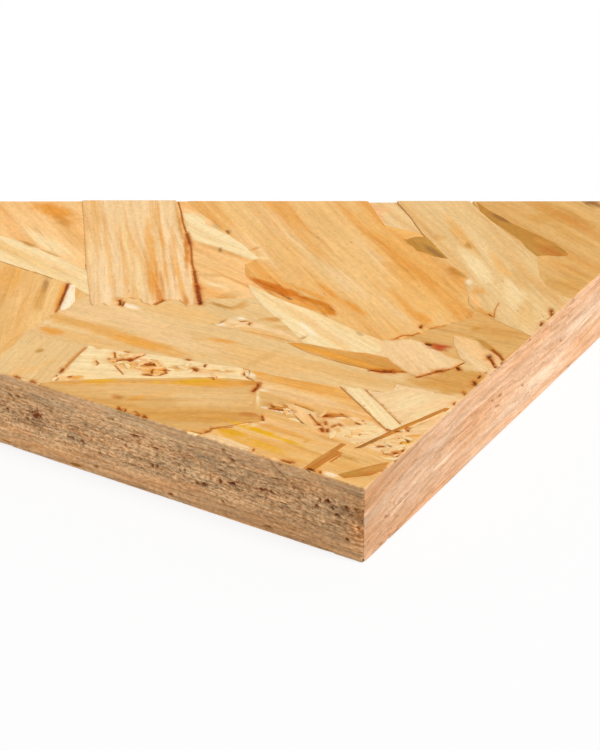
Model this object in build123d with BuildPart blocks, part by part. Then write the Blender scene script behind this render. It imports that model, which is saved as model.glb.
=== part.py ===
from build123d import *
import os

# Oriented strand board panel: a square-edged half sheet, pressed from wood
# strands and resin and sawn to size. It lies flat, underside on Z = 0, with
# the origin at the middle of the underside and its long edges along X.
# All sizes in millimetres.

# Sheet size, as sold
length = 1220.0
width = 610.0
thickness = 18.0

# Edges, as the saw and handling leave them
corner_radius = 0.8
arris_radius = 0.4

os.makedirs("parts", exist_ok=True)

with BuildPart() as osb_panel:
    # Sawn outline with its four corners slightly knocked off
    with BuildSketch(Plane.XY):
        RectangleRounded(length, width, corner_radius)
    extrude(amount=thickness)

    # Arrises round the underside and the top face
    broad_faces = osb_panel.faces().filter_by(Axis.Z)
    fillet(broad_faces.edges(), radius=arris_radius)

osb_panel.part.label = "osb_panel"
export_step(osb_panel.part, "parts/osb_panel.step")
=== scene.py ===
import math

import bpy
import numpy as np
from mathutils import Matrix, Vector
from mathutils.geometry import delaunay_2d_cdt


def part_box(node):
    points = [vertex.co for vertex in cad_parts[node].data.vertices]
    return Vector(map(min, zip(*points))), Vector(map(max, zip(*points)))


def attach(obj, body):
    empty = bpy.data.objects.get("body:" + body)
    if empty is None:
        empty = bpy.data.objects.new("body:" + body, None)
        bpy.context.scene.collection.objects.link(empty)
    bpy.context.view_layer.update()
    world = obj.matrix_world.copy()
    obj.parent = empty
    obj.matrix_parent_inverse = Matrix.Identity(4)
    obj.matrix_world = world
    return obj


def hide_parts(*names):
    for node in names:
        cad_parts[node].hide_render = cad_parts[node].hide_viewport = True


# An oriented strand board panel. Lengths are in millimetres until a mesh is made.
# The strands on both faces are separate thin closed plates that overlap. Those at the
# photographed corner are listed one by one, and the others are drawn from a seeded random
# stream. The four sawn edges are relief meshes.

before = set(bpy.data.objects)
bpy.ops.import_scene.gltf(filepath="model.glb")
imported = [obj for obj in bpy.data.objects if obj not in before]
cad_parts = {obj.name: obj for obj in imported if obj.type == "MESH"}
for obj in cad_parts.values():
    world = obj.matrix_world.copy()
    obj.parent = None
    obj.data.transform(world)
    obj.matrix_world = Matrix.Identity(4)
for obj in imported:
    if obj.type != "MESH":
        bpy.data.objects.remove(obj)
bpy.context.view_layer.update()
NODE = "osb_panel"
BODY = "root"
MM = 0.001

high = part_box(NODE)[1]
HALF_X = high.x / MM
HALF_Y = high.y / MM
TOP = high.z / MM
CORNER = (HALF_X, -HALF_Y)

# Colours. Strands, stains and cracks take one of these by name.


def tone(red, green, blue):
    """An 8-bit display colour as a linear one."""
    levels = np.array([red, green, blue]) / 255
    return np.where(levels <= 0.04045, levels / 12.92, ((levels + 0.055) / 1.055) ** 2.4)


# Ivory is partly the pale wood of chips and partly painted highlight, white glints at strand edges and
# cracks
IVORY_AND_HIGHLIGHT = tone(255, 235, 200)
CREAM = tone(250, 220, 165)
PALE = tone(245, 205, 150)
PEACH = tone(250, 200, 135)
SAND = tone(235, 195, 135)
STRAW = tone(240, 190, 120)
HONEY = tone(235, 175, 95)
TAN = tone(225, 175, 105)
DRIFT = tone(205, 170, 120)
AMBER = tone(235, 160, 60)
GOLD = tone(235, 175, 25)
OCHRE = tone(215, 155, 75)
RESIN = tone(215, 130, 25)
OLIVE = tone(195, 140, 60)
BROWN = tone(200, 130, 55)
UMBER = tone(155, 105, 50)
RUST = tone(180, 62, 12)
# The crack colours are partly resin and partly painted shade in the grooves
CRACK_RESIN_AND_SHADE = tone(145, 65, 8)
DARK_CRACK_RESIN_AND_SHADE = tone(95, 40, 8)
BROWN_CRACK_RESIN_AND_SHADE = tone(150, 80, 25)
SOFT_CRACK_RESIN_AND_SHADE = tone(175, 105, 40)
FAINT_CRACK_RESIN_AND_SHADE = tone(200, 140, 70)
RIM = tone(215, 130, 40)
# Pit brown is the torn wood's brown, darkened further by painted shade in the pits
PIT_BROWN_AND_SHADE = tone(160, 85, 30)
# Core: the inner layers' tone, darkened as painted shade for the gaps between strands
CORE_AND_SHADE = tone(120, 70, 35)

# Seeded noise

OCTAVES = (1, 0.5, 0.25)


def lattice(column, row, seed):
    """A repeatable random number from 0 to 1 for each whole-numbered place."""
    number = column * 73856093 ^ row * 19349663 ^ seed * 83492791
    number = (number ^ (number >> 13)) * 1274126177 & 0x7FFFFFFF
    number = (number ^ (number >> 15)) * 668265263 & 0x7FFFFFFF
    return (number & 0xFFFFF) / 0xFFFFF


def noise(x, y, seed):
    """Smooth noise from -1 to 1, with one wave to each unit of x and y."""
    column, row = np.floor(x).astype(np.int64), np.floor(y).astype(np.int64)
    u, v = x - column, y - row
    u, v = u * u * (3 - 2 * u), v * v * (3 - 2 * v)
    bottom = lattice(column, row, seed) * (1 - u) + lattice(column + 1, row, seed) * u
    upper = lattice(column, row + 1, seed) * (1 - u) + lattice(column + 1, row + 1, seed) * u
    return 2 * (bottom * (1 - v) + upper * v) - 1


def rough_noise(x, y, seed):
    """Noise in octaves, each twice as fine as the last and half as high."""
    total = 0
    for octave, height in enumerate(OCTAVES):
        total = total + height * noise(x * 2**octave, y * 2**octave, seed + octave)
    return total / sum(OCTAVES)


def waves(points, sizes, seed):
    """Noise at places in plan, with waves of the given sizes."""
    return noise(*(points / sizes).T, seed)


# Meshes


class Heap:
    """Vertices, faces and per-vertex data of many small solids that become one mesh."""

    def __init__(self):
        self.points, self.grain, self.tint, self.figure, self.faces = [], [], [], [], []
        self.count = 0

    def add(self, points, faces, grain, tint, figure=0.0):
        self.points.append(points)
        self.grain.append(grain)
        self.tint.append(tint)
        self.figure.append(np.broadcast_to(figure, len(points)))
        self.faces.extend([[i + self.count for i in face] for face in faces])
        self.count += len(points)


def add_attribute(mesh, name, kind, key, values):
    attribute = mesh.attributes.new(name, kind, "POINT")
    attribute.data.foreach_set(key, np.concatenate(values).astype(np.float32).ravel())


def make_piece(name, heap, material, smooth=False):
    """One object from a heap, riding on the panel's body."""
    mesh = bpy.data.meshes.new(name)
    points = np.concatenate(heap.points) * MM
    mesh.from_pydata(points.tolist(), [], heap.faces)
    add_attribute(mesh, "grain", "FLOAT_VECTOR", "vector", heap.grain)
    add_attribute(mesh, "tint", "FLOAT_VECTOR", "vector", heap.tint)
    add_attribute(mesh, "figure", "FLOAT", "value", heap.figure)
    mesh.polygons.foreach_set("use_smooth", [smooth] * len(mesh.polygons))
    mesh.materials.append(material)
    mesh.validate()
    piece = bpy.data.objects.new(name, mesh)
    bpy.context.scene.collection.objects.link(piece)
    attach(piece, BODY)
    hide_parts(NODE)
    return piece


# Outlines in plan

# The strands of both faces end this far inside the panel's sides
SAW_LINE = 0.15
# How outlines are divided: the least run, how uneven the steps are, and the sides' waves
SHORTEST_RUN = 1e-6
STEP_JITTER = 0.3
LONG_WAVE, SHORT_WAVE, SHORT_SHARE = 7, 2, 0.4


def turning(angle):
    """The matrix that rows of plan points are multiplied by to turn them."""
    return np.array([[math.cos(angle), math.sin(angle)], [-math.sin(angle), math.cos(angle)]])


def clip(outline):
    """The part of an outline inside the saw line."""
    keep_x, keep_y = HALF_X - SAW_LINE, HALF_Y - SAW_LINE
    points = [tuple(p) for p in outline]
    for axis, sign, limit in ((0, 1, keep_x), (0, -1, keep_x), (1, 1, keep_y), (1, -1, keep_y)):
        kept = []
        for here, after in zip(points, points[1:] + points[:1]):
            within = sign * here[axis] <= limit
            if within:
                kept.append(here)
            if within != (sign * after[axis] <= limit):
                share = (sign * limit - here[axis]) / (after[axis] - here[axis])
                kept.append(tuple(h + share * (a - h) for h, a in zip(here, after)))
        points = kept
    return np.array(points)


def splinter(outline, angle, rng, end_step, side_step, end_depth, wave):
    """Divides an outline and makes its ends ragged along the grain and its sides wavy."""
    grain = np.array([math.cos(angle), math.sin(angle)])
    rows = []
    for here, after in zip(outline, np.roll(outline, -1, axis=0)):
        run = after - here
        length = math.hypot(*run)
        if length < SHORTEST_RUN:
            continue
        across = abs(run[0] * grain[1] - run[1] * grain[0]) / length
        cut = max(1, int(length / (side_step + (end_step - side_step) * across)))
        jitter = rng.uniform(-STEP_JITTER, STEP_JITTER, cut) * (np.arange(cut) > 0)
        normal = np.array([-run[1], run[0]]) / length
        spots = here + ((np.arange(cut) + jitter) / cut)[:, None] * run
        teeth = rng.uniform(-1, 1, cut) * end_depth * across**2
        bend = waves(spots, LONG_WAVE, 5) + SHORT_SHARE * waves(spots, SHORT_WAVE, 6)
        rows.append(spots + teeth[:, None] * grain + (bend * wave)[:, None] * normal)
    return np.concatenate(rows)


def inside(points, outline):
    """Which points are within an outline."""
    x, y = points[:, :1], points[:, 1:]
    ax, ay = outline[:, 0], outline[:, 1]
    bx, by = np.roll(ax, -1), np.roll(ay, -1)
    spans = (ay > y) != (by > y)
    rise = np.where(np.abs(by - ay) < 1e-12, 1e-12, by - ay)
    return (spans & (x < (bx - ax) * (y - ay) / rise + ax)).sum(1) % 2 == 1


def gap_to(points, line, closed=False):
    """Distance of each point from a line of straight runs."""
    starts = line if closed else line[:-1]
    ends = np.roll(line, -1, axis=0) if closed else line[1:]
    best = np.full(len(points), 1e9)
    for a, b in zip(starts, ends):
        run = b - a
        share = np.clip(((points - a) @ run) / max(run @ run, 1e-12), 0, 1)
        best = np.minimum(best, np.hypot(*(points - a - share[:, None] * run).T))
    return best


# Strand plates: thickness, the drop and width of their eased edge, how far the face dips

PLATE = 0.6
EDGE_DROP = 0.06
EDGE_BAND = 0.4
# Strand walls are painted darker, a painted shade in the steps between strands
WALL_PAINTED_SHADE = 0.95
MEAN_DIP, WIDE_DIP, CLOSE_DIP = 0.045, 0.03, 0.015
WIDE_WAVE, CLOSE_WAVE = (22, 17), (6, 5)
# The eased edges are painted darker, a painted shade along strand borders: the mean, its swing and the
# size of its waves
PLAIN_SHADE, PLAIN_SWING, PLAIN_WAVE = 0.93, 0.07, 6
FINE_SHADE, FINE_SWING, FINE_WAVE = 0.98, 0.02, 3
# The eased edge of a small strand takes at most half of it
LEAST_TOP, LEAST_REACH = 0.5, 0.1
# A number of its own for each strand sets its grain apart by this much
GRAIN_STEP = 7.3


def settle(points):
    """How far the pressed face dips below flat, the same for all strands at a place."""
    return MEAN_DIP + WIDE_DIP * waves(points, WIDE_WAVE, 301) + CLOSE_DIP * waves(points, CLOSE_WAVE, 302)


def on_axes(points, angle):
    """Plan places measured along a direction and across it."""
    along = points[:, 0] * math.cos(angle) + points[:, 1] * math.sin(angle)
    across = points[:, 1] * math.cos(angle) - points[:, 0] * math.sin(angle)
    return along, across


def grain_places(points, angle, seed):
    """Along the grain, across it, and a number of the strand's own, in millimetres."""
    return np.stack([*on_axes(points, angle), np.full(len(points), seed * GRAIN_STEP)], 1)


def lift(points, heights, under):
    """Plan points and heights as 3-D points, turned to the underside where asked."""
    heights = np.broadcast_to(heights, len(points))
    return np.column_stack([points, TOP - heights if under else heights])


def turned(faces, under):
    return [face[::-1] for face in faces] if under else faces


def plain_plate(heap, outline, angle, top, colour, figure, seed, under=False):
    """A thin closed strand: its outline, an eased edge and a flat top."""
    count = len(outline)
    ring = np.arange(count)
    centre = (outline.max(0) + outline.min(0)) / 2
    reach = np.maximum((outline.max(0) - outline.min(0)) / 2, LEAST_REACH)
    inner = centre + (outline - centre) * np.maximum(1 - EDGE_BAND / reach, LEAST_TOP)
    wall_foot = lift(outline, top - PLATE, under)
    wall_head = lift(outline, top - EDGE_DROP - settle(outline), under)
    points = np.concatenate([wall_foot, wall_head, lift(inner, top - settle(inner), under)])
    faces = [list(ring[::-1])]
    for level in (0, count):
        faces += [[i + level, j + level, j + level + count, i + level + count]
                  for i, j in zip(ring, np.roll(ring, -1))]
    faces += [list(ring + 2 * count)]
    # The eased edge is painted darker, a painted shade
    shade = PLAIN_SHADE + PLAIN_SWING * waves(outline, PLAIN_WAVE, seed)
    walls, flat = np.tile(colour * WALL_PAINTED_SHADE, (count, 1)), np.tile(colour, (count, 1))
    tint = np.concatenate([walls, colour * shade[:, None], flat])
    plan = np.concatenate([outline, outline, inner])
    heap.add(points, turned(faces, under), grain_places(plan, angle, seed), tint, figure)


# Marks at the photographed corner: soft stains on named strands, and cracks

# A stain ends at this many times its size, and a wide one needs no points of its own
STAIN_REACH, STAIN_SHARPNESS = 1.3, 1.5
WIDE_STAIN, STAIN_STEP, STAIN_ROWS = 2, 0.8, 7
STREAK_WAVE, STREAK_SHARE = (6, 0.7), 0.28
RAGGED_WAVE, RAGGED_SHARE = 1.7, 0.2


class Stain:
    """A soft oval: place, turn, half length, half width, colour, strength, strands."""

    def __init__(self, x, y, turn, length, width, colour, strength, strands):
        self.place = np.array([x, y])
        self.turn = math.radians(turn)
        self.size = np.array([length, width])
        self.colour, self.strength, self.strands = colour, strength, strands

    def share(self, points):
        """How much of the stain's colour each point takes."""
        local = np.stack(on_axes(points - self.place, self.turn), 1) / self.size
        streak = waves(local * self.size, STREAK_WAVE, 44)
        ragged = waves(points, RAGGED_WAVE, 41)
        away = np.hypot(*local.T) + RAGGED_SHARE * ragged + STREAK_SHARE * streak
        return self.strength * np.clip((STAIN_REACH - away) * STAIN_SHARPNESS, 0, 1)

    def extra_points(self):
        if self.size[1] > WIDE_STAIN:
            return np.zeros((0, 2))
        count = max(STAIN_ROWS, int(self.size[0] * (2 * STAIN_REACH) / STAIN_STEP))
        steps = np.linspace(-STAIN_REACH, STAIN_REACH, STAIN_ROWS)
        rows = np.linspace(-STAIN_REACH, STAIN_REACH, count)
        along, across = np.meshgrid(rows * self.size[0], steps * self.size[1])
        local = np.stack([along.ravel(), across.ravel()], 1)
        return self.place + np.stack(on_axes(local, -self.turn), 1)


# A deeper crack would cut through the strand to what lies under it
DEEPEST_CRACK = 0.18
# Reaches are in half widths of the crack
GROOVE_REACH, GROOVE_SHARPNESS = 1.15, 1.6
RIM_REACH, RIM_FADE, RIM_STRENGTH = 2.5, 1.5, 0.75
CRACK_WAVE, CRACK_RAGGED = 0.7, 0.3
CRACK_STEP = 0.35
CRACK_ROWS = (-2.2, -1.2, -0.5, 0, 0.5, 1.2, 2.2)


class Crack:
    """A groove with a stained rim, darkened with resin and painted shade: width, colour and a line of
    points.
    """

    def __init__(self, width, colour, *line, depth=DEEPEST_CRACK):
        self.width, self.depth, self.colour = width, depth, colour
        self.line = np.array(line, float)
        self.strands = ()

    def shares(self, points):
        """How far each point is in the groove, and in its stained rim."""
        away = gap_to(points, self.line) / (self.width / 2) + CRACK_RAGGED * waves(points, CRACK_WAVE, 43)
        groove = np.clip((GROOVE_REACH - away) * GROOVE_SHARPNESS, 0, 1)
        return groove, np.clip((RIM_REACH - away) / RIM_FADE, 0, 1)

    def extra_points(self):
        rows = []
        for a, b in zip(self.line[:-1], self.line[1:]):
            run = b - a
            length = math.hypot(*run)
            shares = np.linspace(0, 1, max(2, int(length / CRACK_STEP) + 1))
            normal = np.array([-run[1], run[0]]) / length
            for side in CRACK_ROWS:
                rows.append(a + shares[:, None] * run + side * self.width / 2 * normal)
        return np.concatenate(rows)


# A groove's floor stays this far above the strands that fill the base
BASE_CLEARANCE = 0.03


def marked(plan, name, heights, tint):
    """Heights and colours after the stains and cracks of one strand."""
    cut = np.zeros(len(plan))
    for mark in CORNER_MARKS:
        if mark.strands and name not in mark.strands:
            continue
        if isinstance(mark, Crack):
            groove, rim = mark.shares(plan)
            cut = np.maximum(cut, mark.depth * groove)
            tint = tint + (RIM - tint) * RIM_STRENGTH * rim[:, None]
            # The groove takes the crack's colour: resin and painted shade
            tint = tint + (mark.colour - tint) * groove[:, None]
        else:
            tint = tint + (mark.colour - tint) * mark.share(plan)[:, None]
    floor = np.minimum(heights, TOP - BASE_DROP + BASE_CLEARANCE - settle(plan))
    return np.maximum(heights - cut, floor), tint


# Points on a listed strand's top: their spacing and jitter, their least gap from the
# outline, and a band of points just inside it
FINE_SPACING = 1.0
GRID_JITTER = 0.25
OUTLINE_GAP = 0.22
BAND_INSET, BAND_GAP = 0.3, 0.2


def top_points(name, outline, seen, rng):
    """Points within an outline that its top is built on: a loose grid and the marks'."""
    lowest, highest = outline.min(0), outline.max(0)
    columns = np.arange(lowest[0], highest[0], FINE_SPACING)
    rows = np.arange(lowest[1], highest[1], FINE_SPACING)
    grid = np.stack(np.meshgrid(columns, rows), -1).reshape(-1, 2)
    found = [grid + rng.uniform(-GRID_JITTER, GRID_JITTER, grid.shape) * FINE_SPACING]
    for mark in CORNER_MARKS:
        if not mark.strands or name in mark.strands:
            found.append(mark.extra_points())
    spots = np.concatenate(found)
    spots = spots[inside(spots, seen)]
    spots = spots[inside(spots, outline)]
    spots = spots[gap_to(spots, outline, closed=True) > OUTLINE_GAP]
    outward = np.roll(outline, -1, axis=0) - np.roll(outline, 1, axis=0)
    outward = np.stack([outward[:, 1], -outward[:, 0]], 1)
    outward /= np.maximum(np.hypot(*outward.T), 1e-9)[:, None]
    band = outline - outward * BAND_INSET
    band = band[inside(band, outline)]
    band = band[gap_to(band, outline, closed=True) > BAND_GAP]
    return np.concatenate([spots, band])


# A top is divided into triangles inside its outline, and points nearer than this merge
TRIANGLES_INSIDE = 1
MERGE_GAP = 1e-5


def fine_plate(heap, name, outline, angle, top, colour, figure, seed, seen):
    """A listed strand: its top has inner points that carry stains, cracks and waves."""
    count = len(outline)
    edges = [(i, (i + 1) % count) for i in range(count)]
    spots = top_points(name, outline, seen, np.random.default_rng(seed))
    corners = [tuple(p) for p in outline] + [tuple(p) for p in spots]
    found = delaunay_2d_cdt(corners, edges, [list(range(count))], TRIANGLES_INSIDE, MERGE_GAP)
    plan = np.array([tuple(p) for p in found[0]])
    top_faces = [list(face) for face in found[2]]
    ring_of = {}
    for index, sources in enumerate(found[3]):
        for source in sources:
            if source < count:
                ring_of[source] = index
    border = np.array([ring_of[i] for i in range(count)])
    on_edge = np.zeros(len(plan), bool)
    on_edge[border] = True
    heights = top - settle(plan) - np.where(on_edge, EDGE_DROP, 0)
    # The outline's ring is painted a little darker, a painted shade at the strand's edge
    shade = np.where(on_edge, FINE_SHADE + FINE_SWING * waves(plan, FINE_WAVE, seed), 1)
    heights, tint = marked(plan, name, heights, colour * shade[:, None])
    points = np.concatenate([lift(plan, heights, False), lift(plan[border], top - PLATE, False)])
    base = len(plan)
    faces = top_faces + [[base + i for i in range(count)][::-1]]
    for i in range(count):
        j = (i + 1) % count
        faces.append([base + i, base + j, int(border[j]), int(border[i])])
    local = grain_places(plan, angle, seed)
    grain = np.concatenate([local, local[border]])
    tint = np.concatenate([tint, tint[border] * WALL_PAINTED_SHADE])
    heap.add(points, faces, grain, tint, figure)


# Strands at the photographed corner, lowest first. Places are from the corner: x runs
# back along the long edge and is negative, y runs along the short edge. Each row is a
# name, the grain's turn in degrees, how strongly it is figured, a colour and the outline.

CORNER_STRANDS = [
    ("left_tan", -62, 0.65, STRAW, [
        (-175, 42), (-119, 41.3), (-107, 41), (-100, 40.8), (-92, 42), (-92, -3), (-175, -3)]),
    ("tan_band", 10, 0.5, TAN, [
        (-24, 78), (-26, 48), (3, 46), (3, 78), (-8, 82)]),
    ("behind_plank", -12, 0.6, PEACH, [
        (-108, 96), (-60, 92), (-40, 72), (-42, 56), (-60, 43), (-72, 42), (-86, 36), (-100, 58)]),
    ("beige_low", 100, 0.2, SAND, [
        (-95.3, -3), (-95.8, 8), (-95.2, 16.4), (-88, 18.4), (-70, 22), (-70, -3)]),
    ("left_orange", -30, 0.55, PEACH, [
        (-180, 50), (-121, 50), (-104, 47), (-95, 60), (-118, 104), (-180, 104)]),
    ("khaki_tri", 5, 0.4, TAN, [
        (-41, 24), (-38, 22.5), (-29, 21.5), (-26, 17), (-32, 12), (-37, 14)]),
    ("long_beige", 4, 0.22, SAND, [
        (-95, 16.2), (-88, 18), (-80, 19.3), (-73, 20.3), (-66, 23), (-60, 24.8), (-55, 25.4),
        (-50, 27), (-45, 28.5), (-35, 29.8), (-24.5, 32.3), (-19.5, 33.6), (-15.3, 35),
        (-14.8, 36), (-15, 39.2), (-8, 40.2), (3, 41), (3, 55), (-30, 56), (-60, 57),
        (-70, 50), (-84, 42), (-92, 40), (-95.5, 31), (-94.3, 29), (-94.6, 25)]),
    ("crumbly", 30, 0.4, PALE, [
        (-22, 24), (-12, 24.5), (-6, 22), (-3.5, 25), (-1, 32), (3, 42), (3, 11),
        (-8, 12.6), (-13, 13), (-19, 14), (-25, 17), (-24, 21)]),
    ("top_right_tan", -20, 0.6, TAN, [
        (-64, 145), (-44, 126), (-33, 115), (-18, 104), (-16, 100), (-12, 94), (-7, 91),
        (3, 89), (3, 172), (-64, 172)]),
    ("ochre_notch", 25, 0.4, OCHRE, [
        (-32.7, 17.3), (-31, 20.2), (-29.5, 20), (-27, 18.6), (-30, 17.4)]),
    ("cream_patch", -12, 0.5, CREAM, [
        (-97.5, 83), (-95.5, 85), (-91, 84.5), (-90, 81.5), (-84, 79.8), (-78, 78.5),
        (-72, 76), (-68, 74), (-71, 71.5), (-80, 72.4), (-88, 73.3), (-92, 76.5)]),
    ("orange_straw", 5, 0.6, STRAW, [
        (-44.6, 28.5), (-35, 29.8), (-24.5, 32.4), (-19, 30), (-6, 21), (-12, 22.9), (-17, 22.4),
        (-19.5, 21.3), (-22, 20.6), (-25, 20.8), (-31, 21.5), (-38.4, 21.8), (-39, 24.3),
        (-41, 25), (-43.5, 25.6)]),
    ("cream_splinter", 24, 0.3, CREAM, [
        (-79.8, 19.4), (-75, 20.3), (-70, 21.3), (-66, 23.2), (-60, 24.9), (-55, 25.6),
        (-50, 27.2), (-46, 28.3), (-44.5, 27.4), (-43.4, 25.6), (-41.2, 24.6), (-45, 22),
        (-52, 18), (-60, 13), (-67, 9), (-73, 5), (-77, 3.6), (-77.8, 8), (-79, 14)]),
    ("yellow", -2, 0.5, STRAW, [
        (-39, 1.2), (-38.2, 4), (-35.6, 6.5), (-33.2, 9), (-31.5, 12), (-33.6, 15.2), (-27, 15.6),
        (-18, 15), (-13, 14.3), (-8.4, 14), (-3, 13.6), (3, 13.2), (3, -3), (-39, -3)]),
    ("left_cream", -14, 0.55, CREAM, [
        (-160, 52), (-121, 51.7), (-117, 51.2), (-109, 50), (-104, 49), (-92, 46), (-88, 37),
        (-99, 40.2), (-107, 41), (-125, 41.6), (-160, 42)]),
    ("wide_orange", -35, 0.8, STRAW, [
        (-112, 98), (-100, 108), (-64, 112), (-52, 101), (-46, 99), (-41, 96), (-36, 95),
        (-33, 95.3), (-30, 92.8), (-26, 91.4), (-24, 89), (-24.2, 86.5), (-21.2, 83),
        (-19.7, 80), (-18.2, 78), (-15.2, 75.4), (-15.1, 73), (-16, 71.3), (-18.7, 67),
        (-20.3, 64.5), (-21.7, 60.5), (-25, 55.2), (-27, 53.8), (-33, 54.6), (-41, 56.3),
        (-46, 57.5), (-53, 58.2), (-58, 59.2), (-62, 61.3), (-68, 64.2), (-71, 69),
        (-70, 73), (-84, 80.5), (-98, 88)]),
    ("pale_upper", -36, 0.5, SAND, [
        (-70, 128), (-57, 114.6), (-50, 108.8), (-44, 103.2), (-38, 98.6), (-33, 95), (-30, 92.4),
        (-26, 91.2), (-24, 88.8), (-24.4, 86.7), (-21.4, 83.2), (-19.8, 80.3), (-18.3, 78.2),
        (-15.5, 76.6), (-13, 76), (-10.5, 75), (-5, 73.6), (3, 71.5), (3, 92.3), (-5, 92.4),
        (-7, 94), (-11, 98), (-14, 103), (-16, 106.6), (-19, 108.5), (-23, 111), (-28, 114),
        (-33, 116.8), (-38, 120.3), (-46, 127)]),
    ("olive_far", -24, 0.6, OLIVE, [
        (-41, 124.4), (-36.5, 122), (-32, 120.4), (-29, 118.9), (-22, 116.7), (-16, 115),
        (-12, 112.6), (-10.5, 111), (-12, 109.2), (-15, 108), (-16, 106.7), (-20, 109),
        (-23, 111.8), (-28, 114.5), (-33, 117), (-38, 120.5)]),
    ("olive_near", -36, 0.6, OLIVE, [
        (-46.5, 98.2), (-44, 101.3), (-41, 102.2), (-37, 98.6), (-32.6, 94.9), (-37, 94),
        (-41, 94.6), (-44.6, 96.6)]),
    ("chip_edge", -30, 0.5, PALE, [
        (-14.6, 64), (-9, 64.4), (-5, 62), (-1.6, 60.6), (3, 58), (3, 52.6), (-1.4, 52),
        (-5, 54.3), (-8.8, 56), (-12.6, 60.4)]),
    ("cream_wedge", -20, 0.5, CREAM, [
        (-65.5, 61), (-58, 59.4), (-53, 58.3), (-46, 57.6), (-41, 56.4), (-33, 54.8),
        (-27, 54), (-24, 51), (-25, 47.4), (-30, 46.2), (-37, 44.9), (-40.6, 44.1),
        (-43.5, 46), (-48, 49), (-51.5, 51), (-57, 54), (-62, 57.4)]),
    ("pale_square", -34, 0.35, PALE, [
        (-27.2, 53.6), (-24.8, 55.3), (-21.6, 57.6), (-18.5, 57.4), (-13.5, 55.9), (-8.8, 54.4),
        (-7.4, 52.4), (-8.4, 51), (-9.6, 49), (-11.2, 46.6), (-12.8, 44.2), (-15.6, 45),
        (-20, 46.7), (-22, 48), (-25.4, 47.5), (-26, 50.5)]),
    ("khaki", 30, 0.3, TAN, [
        (-80.6, -3), (-78.5, 1.5), (-73, 6.2), (-67, 10.3), (-60, 14.6), (-52, 20), (-45, 23.6),
        (-41, 25), (-39.2, 24.4), (-39, 21.4), (-36.5, 17.5), (-34, 14.2), (-31.4, 12.5),
        (-31.2, 11.3), (-33.5, 9.8), (-36, 6.6), (-38.3, 4), (-38.8, 1.2), (-41.5, 1),
        (-44, -3)]),
    ("pale_triangle", 62, 0.25, PALE, [
        (-15, 39.2), (-14.5, 36.2), (-15.5, 34.9), (-19.4, 33.6), (-12, 29.2), (-6, 25.5),
        (-3.6, 25), (-1.6, 31), (-0.6, 37), (3, 40), (3, 40.9), (-8, 40.3), (-13.5, 39.4)]),
    ("pale_strip", -32, 0.25, CREAM, [
        (-24.3, 32.3), (-19.6, 33.7), (-12, 29.4), (-5, 25.2), (-3.8, 22.5), (-6.6, 21.2),
        (-15, 26.3)]),
    ("pale_sliver", -38, 0.4, PEACH, [
        (-30.6, 20.4), (-28.4, 20.6), (-24, 18.8), (-20.4, 16.4), (-18.4, 14.8), (-20.8, 14),
        (-24.5, 16), (-27.4, 17.8)]),
    ("cream_edge", 2, 0.3, PALE, [
        (-38.6, -1), (-37.6, 1.8), (-33, 2.3), (-28, 1.6), (-26.6, 0.9), (-27, -1)]),
    ("cream_chips", 8, 0.5, PALE, [
        (-60.4, 45.2), (-55, 46.4), (-49, 46.8), (-43, 45.2), (-42, 43.6), (-50, 43),
        (-58, 41.4), (-60.6, 41)]),
    ("lens", 3, 0.6, OCHRE, [
        (-43.5, 42.5), (-41, 44), (-37, 44.8), (-30, 46), (-27, 47.4), (-22, 48), (-20, 46.6),
        (-17, 45.3), (-15.4, 44.5), (-17.5, 43.5), (-20, 42.3), (-22, 41.5), (-30, 40.9),
        (-38, 41.2), (-42, 42)]),
    ("pale_needle", -62, 0.2, IVORY_AND_HIGHLIGHT, [
        (-99.6, 40), (-98.4, 40.7), (-94, 34.6), (-93.2, 31.5), (-94, 29.2), (-95.2, 30.2),
        (-97.4, 35)]),
    ("brown_strip", 84, 0.6, BROWN, [
        (-12.7, 12.3), (-11.6, 12.6), (-11.9, 9.6), (-10.6, 9.4), (-11.6, 5), (-11.9, 1.4),
        (-13.1, -1), (-14.2, -1), (-13.9, 4)]),
    ("corner_wedge", 50, 0.8, BROWN, [
        (-0.8, 11.2), (-3.6, 7.4), (-7, 2), (-5.4, 1.4), (-1.4, 5), (-0.4, 8)]),
    ("splinter", 69, 0.5, BROWN, [
        (-9.4, 12.2), (-8.3, 12.8), (-6.6, 17.8), (-4.3, 24.4), (-2, 31), (-0.6, 36),
        (-1.4, 35.6), (-3.6, 29.6), (-5.6, 24.6), (-7.8, 18)]),
    ("tall_plank", -52, 0.9, PALE, [
        (-140, 99), (-121, 76), (-111, 62.5), (-100, 47.5), (-90.5, 35.5), (-89.4, 35),
        (-88, 37), (-86.2, 36), (-86, 39.6), (-84.6, 42), (-82, 42.6), (-80.2, 41.2),
        (-78.4, 41.5), (-77.6, 44.8), (-74.2, 46.8), (-71.4, 45.2), (-70.2, 47.4),
        (-75, 53.6), (-79.5, 59.6), (-82, 62.6), (-86, 68.6), (-87.6, 70.6), (-91, 74.2),
        (-95.5, 79.2), (-98.5, 83.2), (-102, 87.6), (-118, 108)]),
]

# Soft stains by strand, measured from the corner as well. Each row is a place, a turn in
# degrees, half a length and half a width, a colour and its strength, and then the names
# of the other strands that the stain runs on to.

# Stains in a crack colour are partly resin and partly painted shade, and stains in ivory partly painted
# highlight
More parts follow.
